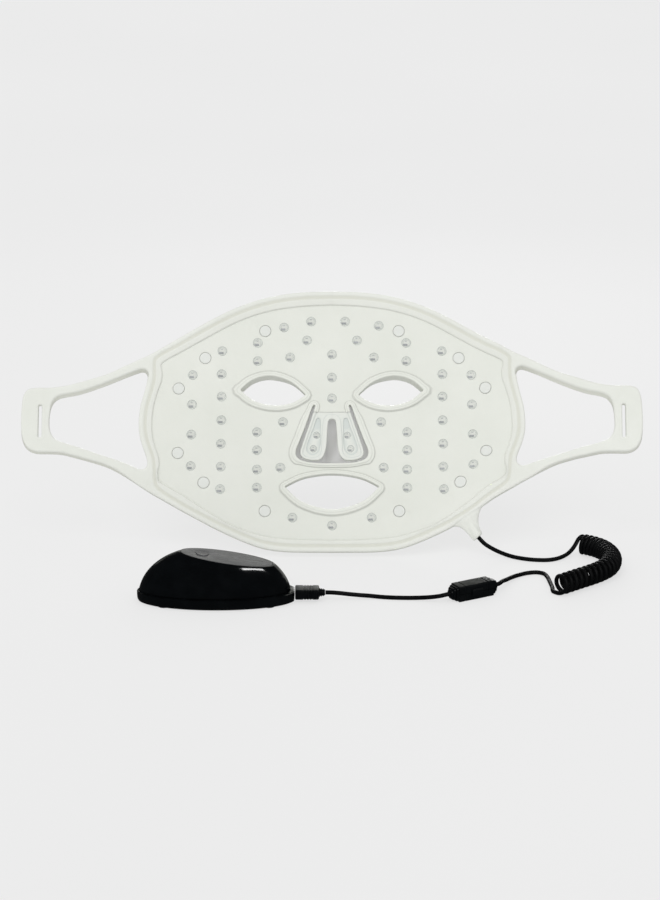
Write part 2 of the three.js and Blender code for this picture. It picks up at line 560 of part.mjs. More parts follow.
addPart(controller, 'base_shell', buildBaseShell(), glossBlack);
addPart(controller, 'upper_shell', buildUpperShell(), glossBlack);
addPart(controller, 'top_panel', buildTopPanel(), greyPanel);
addPart(controller, 'power_button', buildButton(), greyPanel);
addPart(controller, 'tact_switch', buildSwitch(), blackPlastic);
addPart(controller, 'button_board', onSlope(box([-26, -7, -7.6], [10, 7, -6.5])), boardGreen);
addPart(controller, 'main_board', box([-30, -7, 8], [44, 7, 9]), boardGreen);
addPart(controller, 'battery', box([-28, -11, 9.6], [26, 11, 17.6]), batteryFoil);
const socketBody = box([42, -4.8, SOCKET_Z - 1.95], [53, 4.8, SOCKET_Z + 1.95]);
const socketMouth = box([45.8, -4.45, SOCKET_Z - 1.6], [54, 4.45, SOCKET_Z + 1.6]);
addPart(controller, 'usb_socket', socketBody.subtract(socketMouth), steel);
SCREWS.forEach((at, i) => {
  addPart(controller, `screw_${i + 1}`, turned(SCREW_PROFILE, 10, ...at), steel);
  addPart(controller, `foot_${i + 1}`, disc(...at, 4, 0, BASE_BOTTOM - GAP, 12), rubber);
});

function buildPlugBody() {
  const start = BASE_END + 0.4;
  const end = start + PLUG_LENGTH;
  const grip = new THREE.Shape([[5, -2], [5, 2], [-5, 2], [-5, -2]].map(toPoint));
  const bevel = { bevelSize: 1.5, bevelThickness: 1.5, bevelSegments: 2 };
  const body = new THREE.ExtrudeGeometry(grip, { depth: PLUG_LENGTH - 3, ...bevel });
  body.rotateY(Math.PI / 2).rotateX(Math.PI / 2);
  const block = placed(body, start + 1.5, 0, SOCKET_Z);
  const cone = new THREE.CylinderGeometry(2.6, 3.4, RELIEF_LENGTH + 1, 12);
  const relief = toSolid(cone.rotateZ(-Math.PI / 2));
  return block.add(relief.translate([end + (RELIEF_LENGTH - 1) / 2, 0, SOCKET_Z]));
}

const plugShell = box([47.2, -4.1, SOCKET_Z - 1.25], [53.5, 4.1, SOCKET_Z + 1.25]);
addPart(controller, 'plug_body', buildPlugBody(), blackPlastic);
const plugMouth = box([46, -3.5, SOCKET_Z - 0.7], [51.5, 3.5, SOCKET_Z + 0.7]);
addPart(controller, 'plug_shell', plugShell.subtract(plugMouth), steel);

const product = new THREE.Group();
product.add(mask, lead, ferrite, controller);

export default product;
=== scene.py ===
# Looks of a flexible LED face mask with ear straps, its curly lead with a ferrite clip, and the
# domed battery controller that the lead is plugged into. Shapes are drawn in millimetres, in the
# mask's or the controller's own directions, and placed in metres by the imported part's frame.
import json
import math

import bmesh
import bpy
import numpy as np
from mathutils import Matrix, Vector
from mathutils.geometry import delaunay_2d_cdt


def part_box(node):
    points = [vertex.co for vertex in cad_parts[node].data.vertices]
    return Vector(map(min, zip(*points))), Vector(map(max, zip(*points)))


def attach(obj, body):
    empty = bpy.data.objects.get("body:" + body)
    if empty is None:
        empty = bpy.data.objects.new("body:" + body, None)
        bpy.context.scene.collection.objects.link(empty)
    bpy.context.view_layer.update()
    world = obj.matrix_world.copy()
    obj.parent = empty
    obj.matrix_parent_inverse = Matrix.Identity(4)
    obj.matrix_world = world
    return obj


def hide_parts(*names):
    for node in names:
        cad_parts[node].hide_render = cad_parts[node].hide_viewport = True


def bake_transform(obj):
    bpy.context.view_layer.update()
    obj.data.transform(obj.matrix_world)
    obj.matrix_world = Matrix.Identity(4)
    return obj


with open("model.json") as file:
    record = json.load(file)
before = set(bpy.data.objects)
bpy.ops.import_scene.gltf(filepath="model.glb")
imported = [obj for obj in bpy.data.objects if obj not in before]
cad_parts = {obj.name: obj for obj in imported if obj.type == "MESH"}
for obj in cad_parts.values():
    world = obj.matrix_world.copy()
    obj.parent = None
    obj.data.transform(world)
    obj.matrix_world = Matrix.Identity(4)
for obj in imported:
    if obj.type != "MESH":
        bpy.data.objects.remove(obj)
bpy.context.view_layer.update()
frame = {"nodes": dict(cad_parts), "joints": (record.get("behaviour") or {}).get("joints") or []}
JOINTS = {joint["name"]: joint for joint in frame["joints"]}
MM = 0.001

# ---- driving dimensions of the mask, in millimetres ----
HINGE_W = 0.6  # height of the arms' bending lines over the skin
ARM_BEND = (136, 158)  # where an arm's bend starts, and where it ends
ARM_THINS = (124, 150)  # where the shell thins from its full depth to an arm's
# heights over the skin's face
BACK = -6
ARM_BACK = -3.2
TRAY_FLOOR = -4.6
SKIN_BACK = -1.4
OPENING_FOOT = -5.9  # how deep the walls round the openings go
RIM = 1.5  # front of the moulded rims
STEP = 1.15  # the lower step between border and skin
LAMP_RADIUS = 3.5
LAMP_HEIGHT = 1.7
PAD_RADIUS = 4.05

ARM_LEAN, HOLE_LEAN = 1.5, 2.3  # how far the down-facing walls of an arm and of its hole lean

RIM_TOP = [(0, 94.6), (22, 93.9), (43, 90.9), (62.6, 85.2), (81, 77), (109.4, 61), (124, 52.3)]
RIM_BOTTOM = [
    (122.6, -57), (109.4, -64.6), (95, -72.4), (80.6, -79.9), (66.2, -86.5), (51.8, -91.9), (36, -94.6),
    (0, -95.3),
]
STRUT_TOP = [
    (132, 47.8), (139.7, 44.3), (147.5, 40.7), (161.6, 34.1), (177.2, 29.2), (188.9, 26), (197, 24.5),
]
STRUT_BOTTOM = [
    (194.4, -24.9), (185, -27.2), (173.3, -30.4), (161.6, -34.2), (153.8, -38), (146, -42.6), (138.2, -47.6),
    (130.4, -52.6),
]
TAB = [
    (204, 23.9), (214.5, 23.8), (219.9, 22.2), (222.3, 17.8), (223.4, 9), (223.6, -9), (222.4, -15.8),
    (219.2, -21.2), (213.5, -24), (204, -24.4),
]
LOOP = [
    (153.8, -29), (165.5, -25.2), (181.1, -19.8), (192.8, -16.2), (198.3, -14), (201.8, -10.2), (203.4, -4.8),
    (203.4, 1.5), (202.6, 7.6), (200.9, 12), (197.6, 15.2), (192.5, 16.8), (185, 18.1), (177.2, 20.2),
    (161.6, 25.8), (146, 32.2), (138.2, 35.2), (135.6, 35.7), (133.5, 34), (133.1, 30), (135, 21.2),
    (138.1, 9.5), (139.1, -3), (138.3, -11.6), (135.8, -20.2), (133.1, -27.8), (132.5, -31.8), (133.6, -34.6),
    (136.6, -35.7), (140.5, -34.6), (146, -32),
]
BORDER_SIDE = [
    (131.4, 47.2), (132.6, 42), (132.4, 36), (132.7, 30), (134.9, 21.2), (138, 9.5), (139, -3),
    (138.2, -11.6), (135.7, -20.2), (133, -27.8), (132.2, -33), (132, -38), (131.5, -44), (129.4, -50.6),
]
PANEL = [
    (0, 84.4), (23, 83.2), (44.6, 80), (66.2, 72.9), (95, 57.6), (112, 48), (120, 43.6), (123.4, 41),
    (122.2, 35.2), (122.4, 29.6), (125.2, 21.5), (128.2, 10.5), (129.4, -2), (128.8, -11.6), (126.5, -21),
    (124, -28.5), (123.9, -34), (125.4, -39), (125.2, -42.6), (118.6, -47.8), (110, -52.5), (87.8, -66.8),
    (73.4, -75.1), (59, -80.8), (44.6, -84.4), (23, -86.2), (0, -86.6),
]
EYE_UPPER = [(18.7, 18.6), (30, 28.2), (44.6, 32.5), (57, 29.6), (66.2, 22.2)]
EYE_LOWER = [(66.2, 22.2), (56, 14.4), (41.8, 11), (28.5, 13), (18.7, 18.6)]
MOUTH_UPPER = [(-34.2, -48), (-22, -42.1), (-8, -39.3), (0, -38.9), (8, -39.3), (22, -42.1), (34.2, -48)]
MOUTH_LOWER = [(34.2, -48), (22, -58.5), (0, -64.3), (-22, -58.5), (-34.2, -48)]
CREASE = 6.2  # the line that the nose flaps bend about
# right half of the opening round the nose flaps, from the tongue down to the middle
NOSE = [
    (13.3, CREASE), (12.5, 9), (12.1, 10.4), (12.7, 11.4), (13.5, 10.9), (15.4, 6.3), (19, -4),
    (22.7, -13.7), (25.9, -22.3), (25.6, -25.8), (22.8, -28.5), (17, -30.3), (8, -31), (0, -31.1),
]
FLAP = [
    (13.33, 5.95), (15.4, -0.5), (18.6, -9.5), (20.9, -16.5), (22.7, -22.5), (22.3, -25.4), (20.8, -27.2),
    (17.8, -28.4), (12.9, -29.1), (9, -28.6), (6.6, -26.6), (5.1, -23.5), (4.2, -19.6), (3.5, -9.7),
    (2.8, -1.8), (2.2, 0.2), (1, 0.9), (0.04, 1),
]
FLAP_RECESS = [
    (8.7, 1.2), (10.4, 2), (13.6, -6), (18.3, -19.5), (17.8, -23), (14.8, -25), (11.2, -24.2), (9.3, -21.5),
    (8.25, -16), (8.2, -9),
]
RISE_TOP_FROM, RISE_BOTTOM_FROM = 30, -50  # the v at which each rise is whole
# how far the soft right side sits above the left one, as (u, rise) along its top and its bottom
RISE_TOP = [(100, 0), (112, 0.8), (121, 1.8), (140, 2.2), (214, 2.2)]
RISE_BOTTOM = [
    (84, 0), (97, 1.2), (108, 3.4), (116, 4.5), (128, 4.6), (137, 4.2), (146, 3.4), (155, 3), (175, 3),
    (195, 1.6), (214, 0.5),
]
NOSE_HOLE = [
    (0, 12.4), (10, 12.6), (15, 12), (18, 5), (21.5, -6), (25.6, -20), (25.2, -27), (20, -31), (9, -33),
    (0, -33.4),
]
COVER_RIM = [
    (0, 18.5), (11, 17.6), (19, 13), (24, -2), (29.5, -19), (31, -27), (28, -34), (18, -37.4), (0, -38),
]
COVER_WALL = 1.8
RIDGE_SPAN = (-29, 6)  # from the tip of the nose cover's ridge to its root
RIDGE_TOP, RIDGE_DROP = 5, 13.5  # how far the ridge stands off the shell, and what is added towards its tip
NOSTRIL_AT, NOSTRIL_U, NOSTRIL_W = (9, -14.5), 3.4, 2.6  # (u, w) of a nostril's middle, and its half sizes
NOSTRIL_SPAN = (-46, -26)  # the v between which its cutter lies
STRAP_SLOT = [(208.9, -12.2), (211.4, -12.2), (211.2, 11), (208.9, 11)]

LAMP_PAIRS = [
    (53.6, 56.8), (18, 58.6), (79.2, 50.8), (53.6, 43.5), (30.2, 46.1), (100.4, 33.2), (79.6, 33.9),
    (79.6, 17.5), (100.8, 11.7), (79.6, 0.3), (35.3, -1.1), (101.2, -10.2), (54, -8.4), (79.9, -16.8),
    (54, -21.5), (101.5, -33.1), (79.9, -33.5), (54, -35.6), (37.1, -34.2), (80.3, -49.8), (54, -48.7),
    (28.4, -70.4),
]
LAMPS_SINGLE = [
    (-34.6, 68.1), (-15.1, 72.5), (9.4, 72.5), (33.8, 69.4), (0, 48.3), (0, 31.4), (0, 16.1), (0, -76.1),
]
FLAP_FLAT, FLAP_FLOOR, FLAP_BACK = 0.3, -0.45, -3.0  # a flap's face, the floor of its recess and its back
LAMPS_FLAP = [(11.1, -10.7), (13.4, -20.4)]
FLAP_LAMP_SIZE = 0.75
RIVETS = [(48.2, 65.5), (91.4, 45.7), (110.5, 23.4), (110.9, -23.6), (92.2, -45.1), (48.2, -65.7)]

# ---- driving dimensions of the lead, in millimetres ----
CORD_RADIUS = 1.5
COIL_TURNS = 24.5
COIL_LOOSENING = 1.13  # over 1, so that the turns lie further apart towards the plug
COIL_MEAN = 6  # radius of the coil at the middle of the cord
POINTS_PER_TURN = 26
GLAND_MOUTH = (104.7, -84, -2.2)
# the gland's outline, from the border to its mouth, and the middle of the tube that runs along it
GLAND_LEFT = [
    (81, -79.2), (84.4, -77.8), (87.2, -76.8), (90, -76.7), (92.6, -77.7), (95, -79.5), (97.3, -81.8),
    (99.4, -84.3), (101.4, -86.7),
]
GLAND_RIGHT = [
    (116.2, -55.6), (112.8, -57.8), (109.8, -60.3), (107.3, -63.2), (105.6, -67), (104.9, -71.3),
    (105.2, -75.7), (106.1, -78.4), (107.5, -81.2),
]
GLAND_TUBE = [
    (91, -64), (94.4, -68.6), (97.4, -72.8), (99.8, -76.2), (101.6, -79), (103.2, -81.6), (104.7, -84),
]
GLAND_TUBE_RADIUS = 3.95
GLAND_WEB, GLAND_THINS = 3.62, 1.5  # how high its web is at the border, and what it loses towards the mouth
GLAND_BACK, GLAND_DEEPENS = 2.3, 1.2  # how deep its back is at the border, and what it gains by the mouth
MASK_LEAD = [
    (109.2, 16.6, 8.8), (112.6, 15.2, 6.8), (117.4, 13.6, 4.6), (122.6, 11.6, 2.9), (128.7, 8.3, 1.9),
    (134.8, 5.4, 1.6), (141, 3, 1.55), (147.1, 1.8, 1.55), (153.4, 1.8, 1.55), (158.8, 3.6, 1.6),
    (164.2, 6.9, 2.1), (168.7, 10.5, 3.4), (172.1, 14, 5.6), (174.6, 16.6, 8.4), (176.6, 18.4, 11.4),
]
COIL = [
    (178.9, 19.2, 7.55), (184.4, 16.2, 7.55), (191.4, 9.4, 7.55), (196, -0.2, 7.55), (197.6, -13, 7.55),
    (194.6, -27.6, 7.55), (187.8, -38, 7.55), (179.7, -46.3, 7.55), (172.3, -52.8, 7.55),
    (164.8, -59.5, 7.55), (156.6, -66.9, 7.55),
]
PLUG_LEAD_TAIL = [
    (153.3, -63.4, 1.55), (153, -54.6, 1.55), (152, -43, 1.55), (151, -33.6, 1.55), (148.8, -26.8, 1.55),
    (144.4, -24.2, 1.55), (138.2, -25.3, 1.55), (131.7, -29.6, 1.7), (125.6, -37.1, 2.4), (121.4, -45, 3.5),
    (118.4, -51.6, 4.8),
]
PLUG_LEAD_FRONT = [
    (74.4, -81.2, 4.9), (67.5, -78.8, 3.1), (60.5, -76.6, 1.9), (53.6, -76, 1.55), (46.7, -75.8, 1.55),
    (39.9, -75.2, 1.55), (33, -74, 1.6), (26.1, -73.4, 2.1), (19.3, -74.2, 2.9), (12.4, -75.4, 4),
    (5.5, -76, 5), (0, -76.1, 5.5), (-4.6, -76.1, 5.6),
]
FERRITE_END = 18.6
CORD_CLEAR = 21.1  # how far from the clip's middle the cord runs straight

# ---- driving dimensions of the controller, in millimetres ----
BASE_LENGTH, BASE_WIDTH, BASE_TOP = 110, 47, 8
BASE_END = 53.4
DOME_LENGTH, DOME_WIDTH, DOME_RISE, DOME_SHIFT, DOME_POWER = 106, 43, 39, -1.4, 2.2
SLOPE = math.radians(8.8)
SLOPE_AT = (6.9, 31.2)
PANEL_LENGTH, PANEL_WIDTH = 63.6, 26.2
SEAT_GAP = 0.4  # how much longer and wider the panel's seat is
BUTTON_AT, BUTTON_RADIUS = -17, 4.2
SOCKET_Z = 5.6
PLUG_START = BASE_END + 0.4  # where the plug's grip starts

# ---- camera and light ----
CAMERA_AT = (-1.44, -2050.5, 730.8)  # in millimetres
CAMERA_DOWN = 17.5
CAMERA_LENS = 122.2
SENSOR_WIDTH = 36
WORLD_LIGHT = 0.68
WORLD_GLOSS = 0.05  # what reflections see of the world
SUN_LIGHT = 1.12
SUN_WIDTH = math.radians(50)
SUN_TURN = (math.radians(38), math.radians(-14), 0)
# soft boxes for reflections only: (name, place, target, size, power), in metres and watts
SOFTBOXES = [
    ("strip_box", (0.465, -0.62, 0.66), (-0.055, -0.1, 0.027), (0.5, 0.07), 3.4),
    ("rear_box", (0.1, 1.0, 0.36), (-0.08, -0.07, 0.03), (0.55, 0.3), 5.0),
]
FLOOR_SIZE = 60
FLOOR_GLOW = 0.645


# ---- places, from the frame ----
def mask_matrix():
    """The mask's own directions: u to the right, v up the face, w out of the side with the lamps."""
    right = Vector(JOINTS["arm_right_bend"]["pos_m"])
    left = Vector(JOINTS["arm_left_bend"]["pos_m"])
    up = Vector(JOINTS["arm_left_bend"]["axis"]).normalized()
    across = (right - left).normalized()
    out = across.cross(up)
    turn = Matrix((across, up, out)).transposed().to_4x4()
    return Matrix.Translation((right + left) / 2 - out * HINGE_W * MM) @ turn @ Matrix.Scale(MM, 4)


def controller_matrix():
    low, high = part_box("base_shell")
    middle = Vector((low.x + BASE_LENGTH / 2 * MM, (low.y + high.y) / 2, 0))
    return Matrix.Translation(middle) @ Matrix.Scale(MM, 4)


def ferrite_matrix():
    low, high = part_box("ferrite_core_lower")
    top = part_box("ferrite_core_upper")[1]
    middle = Vector(((low.x + high.x) / 2, (low.y + high.y) / 2, (low.z + top.z) / 2))
    along = -Vector(JOINTS["ferrite_lid_hinge"]["axis"]).normalized()
    turn = Matrix.Rotation(math.atan2(along.y, along.x), 4, "Z")
    return Matrix.Translation(middle) @ turn @ Matrix.Scale(MM, 4)


MASK = mask_matrix()
CONTROLLER = controller_matrix()
FERRITE = ferrite_matrix()


# ---- curves ----
def between(at, p, q, low, high):
    return p * (high - at) / (high - low) + q * (at - low) / (high - low)


def curve(points, step, closed=False):
    """Points every step or so along a smooth curve through the given ones, in any number of directions."""
    knots = [np.array(p, float) for p in points]
    count = len(knots)
    made = []
    for i in range(count if closed else count - 1):
        b, c = knots[i], knots[(i + 1) % count]
        a = knots[i - 1] if closed or i > 0 else 2 * b - c
        d = knots[(i + 2) % count] if closed or i + 2 < count else 2 * c - b
        t = np.cumsum([0] + [max(1e-6, np.linalg.norm(q - p)) ** 0.5 for p, q in ((a, b), (b, c), (c, d))])
        pieces = max(1, math.ceil(np.linalg.norm(c - b) / step))
        for k in range(pieces):
            at = t[1] + (t[2] - t[1]) * k / pieces
            ab = between(at, a, b, t[0], t[1])
            bc = between(at, b, c, t[1], t[2])
            cd = between(at, c, d, t[2], t[3])
            ac = between(at, ab, bc, t[0], t[2])
            bd = between(at, bc, cd, t[1], t[3])
            made.append(between(at, ac, bd, t[1], t[2]))
    if not closed:
        made.append(knots[-1])
    return made


def even(points, step, closed=False):
    """The same line with points an equal distance apart."""
    line = np.array(list(points) + ([points[0]] if closed else []), float)
    run = np.concatenate([[0], np.cumsum(np.linalg.norm(np.diff(line, axis=0), axis=1))])
    count = max(3, round(run[-1] / step))
    at = np.linspace(0, run[-1], count + 1)
    made = np.stack([np.interp(at, run, line[:, k]) for k in range(line.shape[1])], axis=1)
    return made[:-1] if closed else made


def softened(points, rounds, closed=True):
    """The same line with its corners rounded off by averaging neighbours."""
    line = np.array(points, float)
    for _ in range(rounds):
        if closed:
            line = (np.roll(line, 1, 0) + 2 * line + np.roll(line, -1, 0)) / 4
        else:
            line[1:-1] = (line[:-2] + 2 * line[1:-1] + line[2:]) / 4
    return line


class Edge:
    """An outline whose rings can be moved out of the region that it encloses, or in by a minus sign.
    An open one runs clockwise, with outwards on its left."""

    def __init__(self, points, closed=True, ends=None):
        self.points = np.array(points, float)
        self.closed = closed
        if closed:
            along = np.roll(self.points, -1, 0) - np.roll(self.points, 1, 0)
        else:
            along = np.gradient(self.points, axis=0)
        self.out = np.stack([-along[:, 1], along[:, 0]], axis=1)
        self.out /= np.linalg.norm(self.out, axis=1)[:, None]
        if closed:
            x, y = self.points.T
            area = np.sum(x * np.roll(y, -1) - y * np.roll(x, -1))
            self.out *= -1 if area > 0 else 1
        if ends is not None:
            self.out[0], self.out[-1] = ends

    def ring(self, distance):
        return self.points + self.out * np.asarray(distance).reshape(-1, 1)


def drawn(points, step=0.8, rounds=4, closed=True, ends=None):
    """A smooth Edge through the points, with evenly spaced points of its own."""
    line = even(curve(points, step, closed), step, closed)
    return Edge(softened(line, rounds, closed), closed, ends)


def almond(upper, lower, step=0.7, rounds=5):
    line = curve(upper, step)[:-1] + curve(lower, step)[:-1]
    return Edge(softened(even(line, step, True), rounds))


def mirrored(points):
    return [(-p[0], *p[1:]) for p in points]


def whole(points):
    """The outline of both halves, from the right half that starts and ends on the middle line."""
    return list(points) + mirrored(points)[-2:0:-1]


def both_sides(points):
    return [spot for x, y in points for spot in ((x, y), (-x, y))]


def turns(count):
    return [2 * math.pi * k / count for k in range(count)]


def circle(x, y, radius, count=24):
    return [(x + radius * math.cos(t), y + radius * math.sin(t)) for t in turns(count)]


def ellipse(length, width, shrink, count=96, shift=0.0, end=math.inf):
    """Points round an oval, set in by a distance, and cut off flat at one end if told to."""
    a, b = length / 2 - shrink, width / 2 - shrink
    return [(min(a * math.cos(t), end) + shift, b * math.sin(t)) for t in turns(count)]


def smoothstep(low, high, value):
    t = np.clip((np.asarray(value, float) - low) / (high - low), 0, 1)
    return t * t * (3 - 2 * t)


def settled(point):
    """A point of the mask moved by the rise of its soft right side."""
    u, v, w = point
    rise = np.interp(u, *zip(*RISE_TOP)) * min(1, max(0, v / RISE_TOP_FROM))
    rise += np.interp(u, *zip(*RISE_BOTTOM)) * min(1, max(0, v / RISE_BOTTOM_FROM))
    return u, v + float(rise), w


# ---- meshes ----
SHARP_ANGLE = 38  # degrees from which a fold is shown as an edge


def added(name, data):
    """A new object in the scene."""
    obj = bpy.data.objects.new(name, data)
    bpy.context.scene.collection.objects.link(obj)
    return obj


class Shape:
    """Vertices and faces gathered in millimetres, with a share of painted shade for each vertex, then made
    into one object.
    """

    def __init__(self):
        self.points, self.faces, self.painted_shades = [], [], []

    def ring(self, points, height=None, painted_shade=0.0):
        """Adds a ring of vertices. Flat points take the height, a number or one number for each."""
        start = len(self.points)
        rows = [tuple(p) for p in points]
        if height is not None:
            heights = np.broadcast_to(np.asarray(height, float), (len(rows),))
            rows = [(p[0], p[1], float(h)) for p, h in zip(rows, heights)]
        self.points += rows
        self.painted_shades += [painted_shade] * len(rows)
        return list(range(start, start + len(rows)))

    def rings(self, loops, closed=True):
        """Joins each loop to the next by a strip of faces."""
        for a, b in zip(loops, loops[1:]):
            for i in range(len(a) if closed else len(a) - 1):
                j = (i + 1) % len(a)
                self.faces.append((a[i], a[j], b[j], b[i]))
        return loops

    def cap(self, loop):
        self.faces.append(tuple(loop))

    def solid(self, loops):
        """A closed body: the loops joined, with the first and the last capped."""
        self.rings(loops)
        self.cap(loops[0])
        self.cap(loops[-1])

    def stacked(self, rows):
        """A closed body from rows of points, one row for each ring."""
        self.solid([self.ring(row) for row in rows])

    def turned(self, x, y, rows, count=24):
        """Round rings about an upright axis for each (radius, height, painted shade)."""
        return [self.ring(circle(x, y, row[0], count), *row[1:]) for row in rows]

    def sweep(self, edge, profile):
        """Rings along an Edge for each (distance out, height, painted shade) of the profile, joined by
        strips.
        """
        loops = [self.ring(edge.ring(row[0]), *row[1:]) for row in profile]
        return self.rings(loops, edge.closed)

    def fill(self, loops, extra=()):
        """Fills the region inside the first loop and outside the others, seen along the height."""
        index = [i for loop in loops for i in loop] + list(extra)
        flat = np.array([self.points[i][:2] for i in index])
        sides, start = [], 0
        for loop in loops:
            count = len(loop)
            sides += [(start + k, start + (k + 1) % count) for k in range(count)]
            start += count
        found = delaunay_2d_cdt([Vector(p) for p in flat], sides, [], 0, 1e-4)
        corners, triangles, sources = np.array([list(c) for c in found[0]]), found[2], found[3]
        where = []
        for corner, source in zip(corners, sources):
            nearest = source[0] if source else int(np.argmin(np.linalg.norm(flat - corner, axis=1)))
            where.append(index[nearest])
        (ax, ay), (bx, by) = flat[[s[0] for s in sides]].T, flat[[s[1] for s in sides]].T
        slope = (bx - ax) / np.where(ay == by, 1, by - ay)
        for triangle in triangles:
            x, y = corners[list(triangle)].mean(axis=0)
            crossed = ((ay > y) != (by > y)) & (x < ax + (y - ay) * slope)
            face = tuple(where[k] for k in triangle)
            if crossed.sum() % 2 == 1 and len(set(face)) == 3:
                self.faces.append(face)

    def made(self, name, place, material, flip=False, sharp=SHARP_ANGLE, settle=True):
        mesh = bpy.data.meshes.new(name)
        points = [(-x, y, z) for x, y, z in self.points] if flip else self.points
        if settle and place is MASK:
            points = [settled(p) for p in points]
        mesh.from_pydata([place @ Vector(p) for p in points], [], self.faces)
        # each vertex's share of painted shade, kept as an attribute that the silicone and lens materials read
        layer = mesh.attributes.new("painted_shade", "FLOAT", "POINT")
        layer.data.foreach_set("value", np.array(self.painted_shades, np.float32))
        bm = bmesh.new()
        bm.from_mesh(mesh)
        bmesh.ops.recalc_face_normals(bm, faces=bm.faces)
        loose = [v for v in bm.verts if not v.link_faces]
        bmesh.ops.delete(bm, geom=loose, context="VERTS")
        bm.to_mesh(mesh)
        bm.free()
        mesh.shade_smooth()
        mesh.set_sharp_from_angle(angle=math.radians(sharp))
        mesh.materials.append(material)
        return added(name, mesh)


def piece(obj, body, slot, *nodes):
    """Lets an object ride on a body and stand for CAD nodes, which it hides. The slot is not used."""
    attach(obj, body)
    if nodes:
        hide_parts(*nodes)
    return obj


def carve(obj, cutter):
    """Cuts one closed object out of another, and removes the cutter."""
    modifier = obj.modifiers.new("cut", "BOOLEAN")
    modifier.object = cutter
    modifier.solver = "EXACT"
    graph = bpy.context.evaluated_depsgraph_get()
    graph.update()
    result = bpy.data.meshes.new_from_object(obj.evaluated_get(graph))
    obj.modifiers.clear()
    obj.data = result
    result.set_sharp_from_angle(angle=math.radians(SHARP_ANGLE))
    bpy.data.objects.remove(cutter)


# ---- materials ----
class Finish:
    """A material of nodes round one Principled shader, with textures that keep to the object."""

    def __init__(self, name):
        self.material = bpy.data.materials.new(name)
        self.material.use_nodes = True
        self.tree = self.material.node_tree
        self.tree.nodes.clear()
        self.shader = self.node("BsdfPrincipled")
        self.tree.links.new(self.shader.outputs[0], self.node("OutputMaterial").inputs[0])
        self.where = self.node("TexCoord").outputs["Object"]

    def feed(self, socket, value):
        """Gives a socket a fixed value or another node's output."""
        if isinstance(value, bpy.types.NodeSocket):
            self.tree.links.new(value, socket)
        else:
            socket.default_value = value

    def node(self, kind, values=None):
        made = self.tree.nodes.new("ShaderNode" + kind)
        for name, value in (values or {}).items():
            self.feed(made.inputs[name], value)
        return made

    def look(self, values):
        for name, value in values.items():
            self.feed(self.shader.inputs[name], value)

    def noise(self, scale, detail=3.0, rough=0.5, stretch=None):
        where = self.where
        if stretch:
            where = self.node("Mapping", {"Scale": stretch, "Vector": where}).outputs[0]
        values = {"Scale": scale, "Detail": detail, "Roughness": rough, "Vector": where}
        return self.node("TexNoise", values).outputs["Fac"]

    def wave(self, scale, distortion, bands="X"):
        node = self.node("TexWave", {"Scale": scale, "Distortion": distortion, "Vector": self.where})
        node.bands_direction = bands
        return node.outputs["Fac"]

    def spread(self, value, low, high, start=0.35, end=0.65):
        """Maps a value from start..end to low..high, numbers or colours."""
        if isinstance(low, (int, float)):
            span = {"Value": value, "From Min": start, "From Max": end, "To Min": low, "To Max": high}
            return self.node("MapRange", span).outputs[0]
        ramp = self.node("ValToRGB", {"Fac": value})
        first, last = ramp.color_ramp.elements
        first.position, last.position = start, end
        first.color, last.color = (*low, 1), (*high, 1)
        return ramp.outputs[0]

    def mixed(self, factor, a, b):
        """Mixes a node's colour a towards the fixed colour b."""
        node = self.node("Mix")
        node.data_type = "RGBA"
        self.feed(node.inputs["Factor"], factor)
        sockets = {s.name: s for s in node.inputs if s.type == "RGBA"}
        self.feed(sockets["A"], a)
        self.feed(sockets["B"], (*b, 1))
        return [s for s in node.outputs if s.type == "RGBA"][0]

    # reads each vertex's share of painted shade
    def painted_shade(self):
        node = self.node("Attribute")
        node.attribute_name = "painted_shade"
        return node.outputs["Fac"]

    def bump(self, *layers):
        """Stacks (height, distance in metres, strength) layers of bump, and gives the material."""
        previous = None
        for height, distance, strength in layers:
            values = {"Distance": distance, "Strength": strength, "Height": height}
            if previous:
                values["Normal"] = previous
            previous = self.node("Bump", values).outputs[0]
        self.look({"Normal": previous})
        return self.material


def silicone(name, pale, deep, speck_and_shade, roughness=0.42, glow=0.12, reach=0.0035):
    """Soft matt silicone: a milky body with cloudy variation and darker specks, a fine satin grain, and
    painted shade darkening its grooves, seams and opening walls by each vertex's share.
    """
    finish = Finish(name)
    cloudy = finish.spread(finish.noise(22, 4, 0.6), deep, pale, 0.3, 0.7)
    specks = finish.spread(finish.noise(900, 2), 0.0, 0.10, 0.62, 0.8)
    # one dark colour serves for random specks and, by each vertex's share, for painted shade where shade
    # falls in grooves and recesses
    colour = finish.mixed(finish.painted_shade(), finish.mixed(specks, cloudy, speck_and_shade), speck_and_shade)
    finish.look({
        "Base Color": colour,
        "Roughness": finish.spread(finish.noise(120, 3), roughness - 0.06, roughness + 0.08),
        "Subsurface Weight": glow,
        "Subsurface Radius": (reach, reach, reach),
        "Subsurface Scale": 1.0,
        "IOR": 1.41,
        "Specular IOR Level": 0.22,
    })
    return finish.bump((finish.noise(35, 3), 0.0006, 0.15), (finish.noise(1400, 2), 0.00004, 0.5))


def moulded(name, colour, roughness, specular=0.5, grain=1500, depth=0.00005, lift=0.35):
    """Moulded plastic or rubber: even colour with slight mottling, a grain, and rubbed paler spots."""
    finish = Finish(name)
    pale = tuple(min(1, c * (1 + lift) + 0.002) for c in colour)
    finish.look({
        "Base Color": finish.spread(finish.noise(60, 4), colour, pale, 0.4, 0.75),
        "Roughness": finish.spread(finish.noise(210, 3), roughness * 0.85, min(1, roughness * 1.2)),
        "Specular IOR Level": specular,
    })
    return finish.bump((finish.noise(grain, 2), depth, 0.5))


